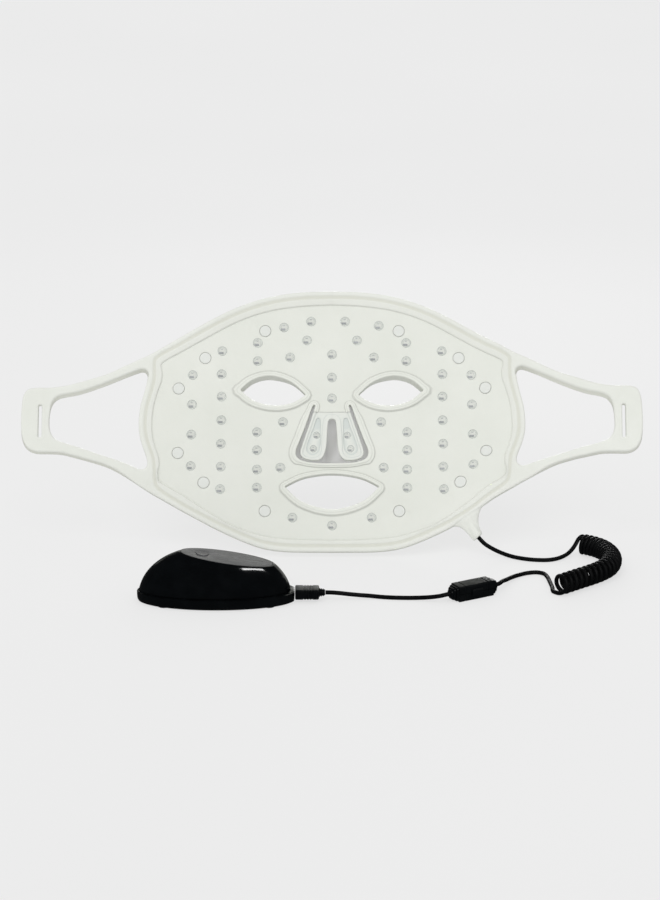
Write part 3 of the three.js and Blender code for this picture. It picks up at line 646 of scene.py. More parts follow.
def polished(name, colour, roughness, specular):
    """Gloss plastic: very smooth, with a faint orange peel and hairline wear in its shine."""
    finish = Finish(name)
    hairlines = finish.noise(160, 4, 0.7, (0.3, 4, 1))
    dusty = tuple(c * 1.5 + 0.001 for c in colour)
    finish.look({
        "Base Color": finish.spread(finish.noise(90, 5), colour, dusty, 0.45, 0.8),
        "Roughness": finish.spread(hairlines, roughness, roughness * 1.9, 0.4, 0.75),
        "Specular IOR Level": specular,
    })
    return finish.bump((finish.noise(180, 2), 0.00004, 0.2))


def metal(name, colour, roughness, brushed=(1, 1, 1)):
    finish = Finish(name)
    brush = finish.noise(500, 3, 0.6, brushed)
    finish.look({
        "Metallic": 1.0,
        "Base Color": finish.spread(brush, tuple(c * 0.8 for c in colour), colour),
        "Roughness": finish.spread(brush, roughness * 0.8, roughness * 1.4),
    })
    return finish.bump((brush, 0.00002, 0.4))


def lens(name):
    """Clear silicone lens: see-through in the middle, with a denser ring at its foot that is greyed as
    painted shade for the dark edge of the clear dome.
    """
    finish = Finish(name)
    ring = finish.painted_shade()
    milky = finish.spread(finish.noise(400, 2), (0.66, 0.72, 0.72), (0.76, 0.81, 0.80))
    finish.look({
        # painted shade: the ring at the foot is greyed where the clear dome shows a dark edge
        "Base Color": finish.mixed(ring, milky, (0.50, 0.53, 0.53)),
        "Alpha": finish.spread(ring, 0.05, 0.26, 0.0, 1.0),
        "Roughness": finish.spread(finish.noise(300, 2), 0.08, 0.2),
        "IOR": 1.42,
    })
    return finish.bump((finish.noise(700, 2), 0.00003, 0.3))


def board(name):
    """Green circuit board: solder mask over copper tracks that show as paler lines."""
    finish = Finish(name)
    tracks = finish.wave(260, 6)
    finish.look({
        "Base Color": finish.spread(tracks, (0.01, 0.09, 0.04), (0.03, 0.2, 0.09), 0.7, 0.8),
        "Roughness": finish.spread(finish.noise(300, 2), 0.25, 0.45),
    })
    return finish.bump((tracks, 0.00004, 0.5))


def film(name):
    """Amber flexible circuit with fine copper lines along it."""
    finish = Finish(name)
    lines = finish.wave(160, 3, "Z")
    finish.look({
        "Base Color": finish.spread(lines, (0.55, 0.26, 0.05), (0.75, 0.42, 0.16), 0.6, 0.75),
        "Roughness": finish.spread(finish.noise(200, 2), 0.3, 0.5),
    })
    return finish.bump((lines, 0.00003, 0.4))


# the third colour of each silicone is the colour of its specks and of its painted shade
SKIN = silicone("mask_silicone", (0.80, 0.815, 0.757), (0.765, 0.785, 0.722), (0.58, 0.59, 0.55))
SHELL = silicone("shell_silicone", (0.79, 0.805, 0.755), (0.76, 0.775, 0.722), (0.60, 0.60, 0.50))
COVER = silicone(
    "cover_silicone", (0.78, 0.78, 0.755), (0.75, 0.75, 0.725), (0.56, 0.56, 0.53),
    roughness=0.45, glow=0.9, reach=0.012)
PAD = silicone("rivet_silicone", (0.78, 0.80, 0.76), (0.75, 0.77, 0.73), (0.62, 0.63, 0.58), 0.3)
FLAP_SKIN = silicone("flap_silicone", (0.79, 0.81, 0.76), (0.76, 0.78, 0.73), (0.55, 0.61, 0.60), 0.36)
LENS = lens("clear_lens")
LAMP_WHITE = moulded("lamp_package", (0.70, 0.71, 0.66), 0.4, lift=0.06)
# painted shade: the grey of the dark bars that stand for shade seen in each lamp
LAMP_SHADE = polished("lamp_painted_shade", (0.34, 0.35, 0.36), 0.25, 0.4)
GLOSS = polished("gloss_black_plastic", (0.0008, 0.0013, 0.0017), 0.08, 0.36)
FACET = polished("satin_grey_panel", (0.072, 0.071, 0.077), 0.24, 0.5)
BLACK = moulded("black_plastic", (0.0020, 0.0027, 0.0033), 0.34, 0.12)
CORD = moulded("black_cord_jacket", (0.0016, 0.0019, 0.0023), 0.6, 0.16, 2600, 0.00003)
RUBBER = moulded("foot_rubber", (0.015, 0.015, 0.016), 0.8, 0.3)
IRON = moulded("sintered_ferrite", (0.035, 0.035, 0.038), 0.75, 0.3, 800, 0.0001)
STEEL = metal("nickel_steel", (0.62, 0.62, 0.60), 0.28, (1, 12, 1))
FOIL = metal("battery_foil", (0.55, 0.57, 0.60), 0.38, (2, 1, 6))
BOARD = board("circuit_board")
FILM = film("flexible_circuit")

# ---- the mask's skin and shell: outlines and profiles, as (distance out, height, painted shade) ----
EYES = [almond(EYE_UPPER, EYE_LOWER), almond(mirrored(EYE_UPPER), mirrored(EYE_LOWER))]
MOUTH = almond(MOUTH_UPPER, MOUTH_LOWER)
LAMPS = both_sides(LAMP_PAIRS) + LAMPS_SINGLE

# painted shade darkens each opening's wall, a fine line along its rim and the groove at the rim's foot
OPENING_RIM = [
    (0.9, SKIN_BACK, 0), (0.6, OPENING_FOOT, 0.2), (0, OPENING_FOOT, 0.4), (0, -3.2, 0.4), (0, 0.4, 0.3),
    (0.1, 1.0, 0), (0.35, 1.38, 0), (0.8, RIM, 0), (1.6, RIM, 0), (2.0, 1.36, 0.4), (2.4, RIM - 0.02, 0),
    (2.9, 1.44, 0), (3.25, 1.2, 0.15), (3.55, 0.6, 0.4), (3.8, 0.12, 0.65), (4.05, -0.03, 0.7),
    (4.35, 0, 0.4), (4.8, 0, 0),
]
# painted shade darkens the bottom of the nose rim's wall, a groove along its rim and the groove at its foot
NOSE_RIM = [
    (0.9, SKIN_BACK), (0.6, OPENING_FOOT), (0.1, OPENING_FOOT, 0.1), (0, 0.6), (0.12, 1.1), (0.45, 1.42),
    (0.9, RIM), (2.1, RIM), (2.5, 1.36), (2.75, 1.08, 0.3), (2.95, 0.98, 0.35), (3.3, 0.95), (4.1, 0.9),
    (4.5, 0.7, 0.2), (4.75, 0.3, 0.6), (4.9, 0.02, 0.8), (5.15, -0.04, 0.6), (5.6, 0),
]
# painted shade darkens the skin's edge where it turns down towards the back
SKIN_EDGE = [
    (-1.2, 0), (-0.7, 0), (-0.3, -0.03), (-0.1, -0.12, 0.05), (-0.05, -0.4, 0.1), (-0.05, SKIN_BACK, 0.1),
]
# painted shade darkens the valley between the border's rolled edge and its lower step
VALLEY = [
    (-2.4, RIM), (-2.8, 1.42, 0.05), (-3.3, 1.15, 0.2), (-3.9, 0.95, 0.4), (-5.1, 0.92, 0.4),
    (-5.6, 1.0, 0.25), (-5.9, 1.16, 0.05), (-6.3, 1.22), (-6.7, STEP, 0.05),
]
# painted shade darkens the seam between the step and the skin, and the shell's edge at the back
SHELL_INNER = [
    (1.3, STEP, 0.05), (0.95, 1.08, 0.05), (0.6, 0.86, 0.05), (0.3, 0.5, 0.08), (0.1, 0.1, 0.1),
    (0.02, -0.04, 0.1), (-0.3, -0.12), (-0.3, -0.6), (0.02, -0.7), (0.03, BACK + 0.6, 0.6),
    (0.45, BACK + 0.05, 0.2), (0.9, BACK),
]
# faint painted shade near the top of the strap slot's rim
SLOT_RIM = [
    (0, 0.2), (0.12, 0.9), (0.45, 1.4), (0.9, 1.62), (1.6, 1.66), (2.1, 1.6, 0.08), (2.6, RIM),
]
# painted shade darkens the back's edges and the foot of each bead round the openings
BACK_EDGE = [(-0.1, TRAY_FLOOR), (-0.08, BACK + 0.6, 0.6), (-0.5, BACK + 0.05, 0.2), (-0.95, BACK)]
BACK_BEAD = [
    (0.75, TRAY_FLOOR), (0.75, BACK + 0.3), (0.8, BACK - 0.25), (1.1, BACK - 0.62), (1.8, BACK - 0.75),
    (2.7, BACK - 0.6), (3.3, BACK - 0.2, 0.2), (3.6, BACK - 0.02, 0.4), (4.2, BACK),
]
# round profiles, as (radius, height, painted shade); the painted shade darkens the pockets' walls and the
# underside of the rivet heads
LAMP_POCKET = [(3.75, 0, 0.0), (3.5, -0.02, 0.1), (3.2, -0.12, 0.1), (3.0, -0.3, 0.0)]
RIVET_POCKET = [(4.6, 0, 0.0), (4.38, -0.05, 0.15), (4.24, -0.25, 0.3), (4.2, -1.1, 0.4)]
RIVET_HEAD = [
    (2.2, -1.0, 0.3), (4.02, -1.0, 0.3), (PAD_RADIUS, -0.3, 0.3), (3.95, -0.06), (3.7, 0.1), (3.2, 0.16),
    (1.6, 0.12),
]


def opening_rim(shape, edge, slope, width):
    """The moulded rim round an opening. The wall slopes inwards, and the rim's width varies, by
    one number for each point of the edge."""
    loops = []
    for out, height, painted_shade in OPENING_RIM:
        share = min(1, max(0, (0.4 - height) / (0.4 - OPENING_FOOT))) if out <= 0 else 0
        loops.append(shape.ring(edge.ring(out * width - share * slope), height, painted_shade))
    return shape.rings(loops)


def eye_rim(shape, edge, side):
    """An eye's rim: wider at the corners, above all the outer one, with a sloping upper wall."""
    out_u, out_v = edge.out[:, 0] * side, edge.out[:, 1]
    width = 1 + 0.58 * np.maximum(0, out_u) ** 3 + 0.2 * np.maximum(0, -out_u) ** 3
    width += 0.12 * np.maximum(0, -out_v) - 0.06 * np.maximum(0, out_v)
    slope = (0.1 + 1.9 * smoothstep(20, 42, np.abs(edge.points[:, 0]))) * np.sqrt(np.maximum(0, out_v))
    return opening_rim(shape, edge, slope, width)


def mouth_rim(shape, edge):
    out_v = edge.out[:, 1]
    width = 1 + 0.12 * np.abs(edge.out[:, 0]) ** 3 + 0.26 * np.maximum(0, -out_v) - 0.2 * np.maximum(0, out_v)
    return opening_rim(shape, edge, 0.35 * np.sqrt(np.maximum(0, out_v)), width)


def pockets(shape, spots, profile, level=0.0, size=1.0, count=24):
    """Round pockets with a flat floor. Returns their upper rings, for the surface round them."""
    rows = [(radius * size, level + height, painted_shade) for radius, height, painted_shade in profile]
    tops = []
    for x, y in spots:
        loops = shape.rings(shape.turned(x, y, rows, count))
        shape.cap(loops[-1])
        tops.append(loops[0])
    return tops


def nose_edge():
    """The edge of the opening round the nose flaps, and how wide its rim is along it."""
    path = even(curve(NOSE + mirrored(NOSE)[-2::-1], 0.4), 0.45)
    edge = Edge(softened(path, 2, closed=False), closed=False, ends=((-1, 0), (1, 0)))
    width = 0.68 + 0.32 * (1 - smoothstep(-2, 9, edge.points[:, 1]))
    return edge, width * (1 - 0.36 * smoothstep(0.75, 0.98, -edge.out[:, 1]))


def panel_skin():
    """The soft inner skin: a flat face with moulded rims, lamp pockets and rivet seats."""
    shape = Shape()
    outer = shape.sweep(drawn(whole(PANEL), 1.2, 3), SKIN_EDGE)
    rims = [eye_rim(shape, EYES[0], 1), eye_rim(shape, EYES[1], -1), mouth_rim(shape, MOUTH)]
    edge, width = nose_edge()
    nose = shape.sweep(edge, [(row[0] * width, *row[1:]) for row in NOSE_RIM])
    for end in (0, -1):
        shape.cap([ring[end] for ring in nose])
    shape.cap([nose[-1][0], nose[-1][-1], nose[0][-1], nose[0][0]])
    seats = pockets(shape, LAMPS, LAMP_POCKET)
    seats += pockets(shape, both_sides(RIVETS), RIVET_POCKET, count=32)
    shape.fill([outer[0], *[rim[-1] for rim in rims], nose[-1], *seats])
    shape.fill([outer[-1], *[rim[0] for rim in rims], nose[0]])
    piece(shape.made("panel_skin", MASK, SKIN), "face_panel", "silicone", "inner_skin")


def back_height(u):
    return BACK + (ARM_BACK - BACK) * smoothstep(*ARM_THINS, np.abs(u))


def rolled(shape, edge, sign, lean):
    """An edge that rolls over to the back. Where it faces down, its wall leans by up to an amount."""
    back = back_height(edge.points[:, 0])
    lean = lean * np.sqrt(np.maximum(0, sign * edge.out[:, 1])) * sign
    return shape.sweep(edge, [
        (1.7 * sign, back), (0.7 * sign, back + 0.22), (0.15 * sign, back + 0.8),
        # painted shade darkens the rolled wall all round the edge
        (lean * 0.1, back + 1.5, 0.3), (lean * 0.9, 0.1, 0.3), (0.08 * sign + lean * 0.96, 0.6),
        (0.35 * sign + lean, 1.08), (0.85 * sign + lean, 1.4), (1.5 * sign + lean, RIM),
        (2.0 * sign + lean, RIM),
    ])


def shell_half(side, label):
    """Half of the outer shell's border, with its arm: a rolled edge, a shallow valley and a lower step."""
    shape = Shape()
    ends = ((0, 1), (0, -1))
    outline = drawn(RIM_TOP + STRUT_TOP + TAB + STRUT_BOTTOM + RIM_BOTTOM, 1.1, 3, False, ends)
    outer = rolled(shape, outline, -1, ARM_LEAN * smoothstep(138, 158, outline.points[:, 0]))
    hole = drawn(LOOP, 1.1, 3)
    loop = rolled(shape, hole, 1, HOLE_LEAN * smoothstep(4, 16, hole.points[:, 1]))
    valley = shape.sweep(drawn(RIM_TOP[:-1] + BORDER_SIDE + RIM_BOTTOM[1:], 1.1, 4, False, ends), VALLEY)
    inner = shape.sweep(drawn(PANEL, 1.2, 3, False, ends), SHELL_INNER)
    slot_back = float(back_height(STRAP_SLOT[0][0]))
    slot = shape.sweep(Edge(softened(even(STRAP_SLOT, 0.5, True), 2)), [
        (0.6, slot_back), (0.1, slot_back + 0.3), (0, slot_back + 0.9), *SLOT_RIM,
    ])
    shape.fill([outer[-1] + valley[0][::-1], loop[-1], slot[-1]])
    shape.fill([valley[-1] + inner[0][::-1]])
    # points within the back, where its depth changes and the arm starts to bend
    grid = [(u, v) for u in range(121, 153, 3) for v in range(-60, 62, 3)]
    bent = shape.ring(grid, [float(back_height(u)) for u, _ in grid])
    shape.fill([outer[0] + inner[-1][::-1], loop[0], slot[0]], bent)
    for end in (0, -1):
        shape.cap([ring[end] for ring in outer + valley + inner])
    obj = shape.made(f"shell_and_arm_{label}", MASK, SHELL, flip=side < 0)
    start, end = (MASK @ Vector((side * u, 0, 0)) for u in ARM_BEND)
    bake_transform(obj)
    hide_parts(f"arm_{label}")


def back_plate():
    """The outer shell's floor, behind the circuits, with a bead round each opening on its outer side."""
    shape = Shape()
    rim = shape.sweep(drawn(whole(PANEL), 1.2, 3), BACK_EDGE)
    beads = [shape.sweep(edge, BACK_BEAD) for edge in (*EYES, MOUTH)]
    nose = shape.sweep(drawn(whole(NOSE_HOLE), 1.0, 3), [(0, TRAY_FLOOR), (0, BACK)])
    for level in (0, -1):
        shape.fill([rim[level], *[ring[level] for ring in beads], nose[level]])
    piece(shape.made("back_plate", MASK, SHELL), "face_panel", "silicone", "outer_shell")


def rivet_pads():
    """Twelve round pads that hold the skin and the shell together."""
    shape = Shape()
    for x, y in both_sides(RIVETS):
        shape.solid(shape.turned(x, y, RIVET_HEAD, 32))
    nodes = [f"rivet_{k:02d}" for k in range(1, 13)]
    piece(shape.made("rivet_pads", MASK, PAD), "face_panel", "rivet_pad", *nodes)


# ---- the lamps ----
def lenses(name, body, spots, level, size, *nodes):
    """Clear domes over the lamps, each with a dense ring of painted shade at its foot."""
    # each row's share of painted shade, greying the ring at the dome's foot
    steps, foot_shades = 7, (1.0, 1.0, 0.7, 0.3)
    rows = [((LAMP_RADIUS - 0.35) * size, level - 0.12, 0.4), (LAMP_RADIUS * size, level - 0.02, 0.7)]
    for k in range(steps):
        turn = math.pi / 2 * (k + 0.35) / steps
        radius = LAMP_RADIUS * size * math.cos(turn) ** 0.8
        painted_shade = foot_shades[k] if k < len(foot_shades) else 0.0
        rows.append((radius, level + LAMP_HEIGHT * size * math.sin(turn), painted_shade))
    shape = Shape()
    for x, y in spots:
        shape.solid(shape.turned(x, y, rows))
    piece(shape.made(name, MASK, LENS), body, "silicone", *nodes)


def blocks(name, body, spots, material, level, size, boxes):
    """A set of small blocks at every spot, each with its upper edges bevelled. A box says where its
    middle is, how wide and high it is, where it starts and ends above the level, and its bevel."""
    shape = Shape()
    for x, y in spots:
        for dx, dy, wide, high, low, top, bevel in boxes:
            loops = []
            for shrink, height in ((0, low), (0, top - bevel), (bevel, top)):
                a, b = wide * size / 2 - shrink, high * size / 2 - shrink
                u, v = x + dx * size, y + dy * size
                loops.append(shape.ring([(u - a, v - b), (u + a, v - b), (u + a, v + b), (u - a, v + b)],
                                        level + height))
            shape.solid(loops)
    piece(shape.made(name, MASK, material, sharp=20), body, "lamp_strip")


PACKAGE = [(0, 0, 3.8, 3.4, -0.32, -0.1, 0.1)]
# painted shade: a dark bar on each lamp, a little low and left of its middle, and a finer one at its upper
# side
SHADE_BARS = [(-0.75, -1.35, 3.2, 1.35, -0.2, 0.05, 0.08), (-0.3, 1.35, 1.5, 0.4, -0.2, -0.04, 0.05)]


def lamp_set(name, body, spots, level, size, *nodes):
    lenses(f"{name}_lenses", body, spots, level, size, *nodes)
    blocks(f"{name}_packages", body, spots, LAMP_WHITE, level, size, PACKAGE)
    # the bars of painted shade over each lamp's package
    blocks(f"{name}_shade_bars", body, spots, LAMP_SHADE, level, size, SHADE_BARS)


# ---- the nose ----
# the flap's rim, as (distance in at its outer side, distance in at the slot, height, painted shade); the
# painted shade darkens a line on the rim and the groove at its foot
FLAP_RIM = [
    (0.5, 0.5, FLAP_BACK, 0), (0.1, 0.1, FLAP_BACK + 0.3, 0), (0, 0, FLAP_BACK + 0.8, 0), (0, 0, 0.5, 0),
    (0.12, 0.12, 0.9, 0), (0.4, 0.4, 1.15, 0), (0.75, 0.8, 1.22, 0), (1.0, 1.7, 1.22, 0),
    (1.12, 1.9, 1.12, 0.12), (1.22, 2.1, 1.1, 0.04), (1.4, 3.1, 1.05, 0), (1.7, 3.45, 0.75, 0.25),
    (1.95, 3.7, 0.42, 0.4), (2.2, 3.9, 0.32, 0.2), (2.6, 4.2, FLAP_FLAT, 0),
]
# painted shade darkens the recess's wall and floor towards the flap's bluish grey
RECESS_WALL = [
    (0.35, FLAP_FLAT, 0.1), (0.12, 0.24, 0.3), (0, 0.05, 0.5), (-0.05, -0.3, 0.5), (-0.1, FLAP_FLOOR, 0.5),
    (-0.15, FLAP_FLOOR, 0.5),
]


def nose_flap(side, label):
    """A flap beside the breathing slot. The rim round the slot arches over it and meets the other flap's."""
    shape = Shape()
    path = even(curve(FLAP, 0.4), 0.5)
    edge = Edge(softened(path, 2, closed=False), closed=False, ends=((1, 0), (0, -1)))
    at_slot = 1 - smoothstep(8, 15, edge.points[:, 0])
    at_slot *= 1 - 0.5 * smoothstep(-17, -24, edge.points[:, 1])
    rims = shape.sweep(edge, [(-(a + (b - a) * at_slot), w, painted_shade) for a, b, w, painted_shade in FLAP_RIM])
    back, front = [shape.ring([(FLAP[-1][0], FLAP[0][1])], w)[0] for w in (FLAP_BACK, FLAP_FLAT)]
    recess = shape.sweep(drawn(FLAP_RECESS, 0.5, 3), RECESS_WALL)
    seats = pockets(shape, LAMPS_FLAP, LAMP_POCKET, FLAP_FLOOR, FLAP_LAMP_SIZE)
    shape.fill([rims[-1] + [front], recess[0]])
    shape.fill([recess[-1], *seats])
    shape.fill([rims[0] + [back]])
    for end in (0, -1):
        shape.cap([ring[end] for ring in rims] + [front, back])
    body = f"nose_flap_{label}"
    piece(shape.made(f"nose_flap_skin_{label}", MASK, FLAP_SKIN, flip=side < 0), body, "silicone", body)
    spots = [(side * x, y) for x, y in LAMPS_FLAP]
    lamp_set(f"nose_lamp_{label}", body, spots, FLAP_FLOOR, FLAP_LAMP_SIZE, f"nose_lamp_strip_{label}")


def nose_cover():
    """The tent over the nose, on the shell's outer side, with two nostril holes underneath."""
    shape = Shape()
    base = drawn(whole(COVER_RIM), 1.5, 3)
    steps = 11

    def layer(inset, turn):
        p = base.ring(-inset)
        ridge_v = np.clip(p[:, 1], *RIDGE_SPAN)
        peak = BACK - RIDGE_TOP - RIDGE_DROP * smoothstep(14, -30, ridge_v) + inset
        sink = 1 - math.cos(turn)
        u = p[:, 0] * (1 - 0.86 * sink)
        v = p[:, 1] + (ridge_v - p[:, 1]) * sink ** 1.4 * 0.9
        return np.stack([u, v, BACK + 0.1 + (peak - BACK) * math.sin(turn)], axis=1).tolist()

    rises = [math.pi / 2 * k / steps for k in range(steps)]
    outside = [shape.ring(base.ring(1.2), BACK - 0.2)] + [shape.ring(layer(0, turn)) for turn in rises[1:]]
    inside = [shape.ring(layer(COVER_WALL, turn)) for turn in rises]
    shape.rings(outside[::-1] + inside)
    shape.cap(outside[-1])
    shape.cap(inside[-1])
    obj = shape.made("nose_tent", MASK, COVER)
    for side in (-1, 1):
        nostril = Shape()
        u, w = side * NOSTRIL_AT[0], NOSTRIL_AT[1]
        oval = [(u + NOSTRIL_U * math.cos(t), w + NOSTRIL_W * math.sin(t)) for t in turns(24)]
        nostril.stacked([[(x, v, z) for x, z in oval] for v in NOSTRIL_SPAN])
        carve(obj, nostril.made("cutter", MASK, COVER))
    piece(obj, "face_panel", "silicone", "nose_cover")


# ---- the lead ----
def sampled(line, count):
    """A number of points along a flat line, at even shares of it."""
    at = np.linspace(0, 1, count) * (len(line) - 1)
    return np.stack([np.interp(at, range(len(line)), line[:, k]) for k in (0, 1)], 1)


def gland():
    """The gland that the lead leaves by: a web flared into the border, with a raised tube along it that
    ends in a bored mouth."""
    shape = Shape()
    count, half = 22, 24
    left, right, tube = (
        sampled(even(curve(line, 1.0), 1.0), count) for line in (GLAND_LEFT, GLAND_RIGHT, GLAND_TUBE))
    loops = []
    for k, share in enumerate(np.linspace(0, 1, count)):
        web = GLAND_WEB - GLAND_THINS * float(smoothstep(0.35, 1, share))
        back = GLAND_BACK + GLAND_DEEPENS * share
        row = []
        for step in range(2 * half):
            turn = math.pi * step / half
            c, s = math.cos(turn), math.sin(turn)
            p = (left[k] + right[k]) / 2 + (left[k] - right[k]) / 2 * c
            away = np.linalg.norm(p - tube[k])
            swell = math.sqrt(max(0, GLAND_TUBE_RADIUS ** 2 - away ** 2)) * min(1, abs(s) * 4)
            flat = back * abs(s) ** 0.75 if s < 0 else web * abs(s) ** 0.45
            row.append((*p, GLAND_MOUTH[2] + math.copysign(max(flat, swell), s)))
        loops.append(shape.ring(row))
    mouth = np.array([shape.points[i] for i in loops[-1]])
    middle = np.array(GLAND_MOUTH)
    end = even(curve(GLAND_TUBE, 1.0), 1.0)
    forward = np.array([*(end[-1] - end[-3]), 0])
    forward /= np.linalg.norm(forward)
    # painted shade darkens the bore inside the mouth
    for scale, ahead, painted_shade in ((0.93, 0.35, 0), (0.6, 0.4, 0), (0.47, 0.2, 0.3), (0.45, -2.5, 0.8)):
        loops.append(shape.ring(middle + (mouth - middle) * scale + forward * ahead, painted_shade=painted_shade))
    shape.solid(loops)
    obj = shape.made("lead_gland", MASK, SHELL, sharp=50, settle=False)
    piece(obj, "face_panel", "silicone", "cable_gland")


def coil_points():
    """The curly stretch: a helix about the coil's own curved line, from its top to its underside, with
    its turns further apart towards its end."""
    line = even(curve(COIL, 1.0), 0.5)
    count = round(COIL_TURNS * POINTS_PER_TURN)
    run = (len(line) - 1) * np.linspace(0, 1, count + 1) ** COIL_LOOSENING
    made = []
    for k, at in enumerate(run):
        i = min(int(at), len(line) - 2)
        centre = Vector(line[i] + (line[i + 1] - line[i]) * (at - i))
        axis = Vector(line[min(len(line) - 1, i + 7)] - line[max(0, i - 6)]).normalized()
        left = Vector((0, 0, 1)).cross(axis).normalized()
        turn = 2 * math.pi * k / POINTS_PER_TURN
        made.append(tuple(centre + (Vector((0, 0, math.cos(turn))) + left * math.sin(turn)) * COIL_MEAN))
    return made


def lead_route():
    """The whole lead's centreline in millimetres, from the gland's bore to inside the plug."""
    inside = (*GLAND_TUBE[-2], GLAND_MOUTH[2])
    first = [tuple(MASK @ Vector(p) / MM) for p in (inside, GLAND_MOUTH)] + MASK_LEAD
    stops = (CORD_CLEAR, FERRITE_END, 9, 0, -9, -FERRITE_END, -CORD_CLEAR)
    clip = [tuple(FERRITE @ Vector((d, 0, 0)) / MM) for d in stops]
    coil = coil_points()
    head = curve(first + [coil[0]], 0.8)
    last = curve([coil[-1]] + PLUG_LEAD_TAIL + clip + PLUG_LEAD_FRONT, 0.8)
    line = np.array(head[:-1] + coil + last[1:])
    for join in (len(head), len(head) + len(coil)):
        part = slice(join - 6, join + 6)
        line[part] = softened(line[part], 5, closed=False)
    return line


def lead():
    """The cord, with the point where it leaves the gland and its length, both in metres."""
    line = lead_route()
    data = bpy.data.curves.new("lead", "CURVE")
    data.dimensions = "3D"
    spline = data.splines.new("POLY")
    spline.points.add(len(line) - 1)
    for point, p in zip(spline.points, line):
        point.co = (*(p * MM), 1)
    data.bevel_depth = CORD_RADIUS * MM
    data.bevel_resolution = 4
    data.use_fill_caps = True
    data.materials.append(CORD)
    obj = added("lead_cord", data)
    piece(obj, "face_panel", "cord", "cord_mask_lead", "cord_coil", "cord_plug_lead")
    length = float(np.linalg.norm(np.diff(line, axis=0), axis=1).sum()) * MM
    return obj, tuple(line[0] * MM), length


# ---- the ferrite clip ----
def half_section(wide, high, sign, corner, split=0.12):
    """Half of a rounded box section, from its split face round to its far side."""
    corner = min(corner, wide * 0.98, high * 0.98)
    points = [(-wide, split)]
    for k in range(6):
        turn = math.pi - math.pi / 2 * k / 5
        points.append((-wide + corner + corner * math.cos(turn), high - corner + corner * math.sin(turn)))
    points += [(-y, z) for y, z in points[::-1]]
    return [(y, sign * z) for y, z in points]


# stations along the case: (place, half width, half height, corner radius)
FERRITE_STATIONS = [
    (FERRITE_END, 2.5, 2.5, 2.4), (18.5, 3.0, 3.0, 2.6), (17.4, 3.1, 3.1, 2.6), (17.3, 4.1, 4.1, 2.2),
    (16.3, 4.2, 4.2, 2.2), (16.2, 3.5, 3.5, 2.2), (15.7, 3.5, 3.5, 2.2), (15.6, 5.1, 4.8, 1.8),
    (14.5, 5.2, 4.9, 1.8), (14.35, 4.6, 4.4, 1.6), (14.0, 4.7, 4.5, 1.2), (13.95, 5.6, 5.3, 1.0),
    (13.7, 5.85, 5.5, 1.0), (12.6, 5.9, 5.55, 1.1), (9.6, 5.9, 5.55, 1.1), (9.4, 5.65, 5.3, 1.1),
    (8.9, 5.65, 5.3, 1.1), (8.7, 5.9, 5.55, 1.1), (0, 5.95, 5.55, 1.1),
]
# the upper half's latch and the lower half's catch, as sections, and (place along, size) at their ends
LATCH = [(-6.5, -2.7), (-7.05, -2.5), (-7.15, 1.6), (-6.6, 2.6), (-5.7, 2.75), (-5.6, 1.2), (-6.35, 0.8)]
LATCH_ENDS = [(-4.2, 0.85), (-3.9, 1.0), (3.9, 1.0), (4.2, 0.85)]
CATCH = [(-5.6, -3.6), (-6.3, -3.4), (-6.3, -2.95), (-5.6, -2.4)]
CATCH_ENDS = [(-4.6, 0.8), (-4.3, 1.0), (4.3, 1.0), (4.6, 0.8)]
KNUCKLE = [(0, 0.6), (0.3, 0.95), (4.7, 0.95), (5, 0.6)]
KNUCKLES_AT = (-9, 4)
HINGE_Y = 5.9  # the side that the hinge is on
LATCH_FOOT, CATCH_FOOT = -5.9, -5.6  # the y that their sections shrink towards


def ferrite_half(sign, label, body):
    shape = Shape()
    stations = FERRITE_STATIONS + mirrored(FERRITE_STATIONS)[-2::-1]
    shape.stacked([[(x, y, z) for y, z in half_section(w, h, sign, c)] for x, w, h, c in stations])
    if sign > 0:
        foot = LATCH_FOOT
        shape.stacked([[(x, foot + (y - foot) * k, z * k) for y, z in LATCH] for x, k in LATCH_ENDS])
    else:
        foot = CATCH_FOOT
        shape.stacked([[(x, foot + (y - foot) * k, z) for y, z in CATCH] for x, k in CATCH_ENDS])
        for start in KNUCKLES_AT:
            shape.stacked([[(start + x, y, z) for y, z in circle(HINGE_Y, 0, r, 14)] for x, r in KNUCKLE])
    obj = shape.made(f"ferrite_shell_{label}", FERRITE, BLACK, sharp=30)
    return piece(obj, body, "black_plastic", f"ferrite_case_{label}")


# ---- the controller and its plug ----
def sloped(points):
    """Points drawn about the middle of the sloped top, turned into the controller's directions."""
    c, s = math.cos(SLOPE), math.sin(SLOPE)
    return [(SLOPE_AT[0] + x * c + z * s, y, SLOPE_AT[1] - x * s + z * c) for x, y, z in points]


BISECTIONS = 40
# profiles, as (distance in, height) for the base and the panel, and (radius, height) for the round ones
BASE_ROWS = [
    (3.0, 0.35), (1.9, 0.4), (0.9, 0.9), (0.35, 1.8), (0.1, 3.2), (0.0, 5.2), (0, 6.6), (0.1, 7.3),
    (0.35, 7.55), (0.75, 7.65), (1.3, 7.7), (1.35, 8.0),
]
PANEL_ROWS = [(0.35, -1.1), (0.1, -1.0), (0.02, -0.2), (0.1, -0.04), (0.3, 0.02), (0.8, 0.05)]
BUTTON_HOLE = [
    (BUTTON_RADIUS + 0.3, -1.1), (BUTTON_RADIUS + 0.25, -0.3), (BUTTON_RADIUS + 0.35, -0.05),
    (BUTTON_RADIUS + 0.6, 0.05),
]
BUTTON_ROWS = [
    (BUTTON_RADIUS - 0.6, -1.9), (BUTTON_RADIUS, -1.8), (BUTTON_RADIUS, 0.12), (BUTTON_RADIUS - 0.12, 0.3),
    (BUTTON_RADIUS - 0.45, 0.4), (BUTTON_RADIUS - 0.9, 0.34), (1.8, 0.22), (0.6, 0.2),
]


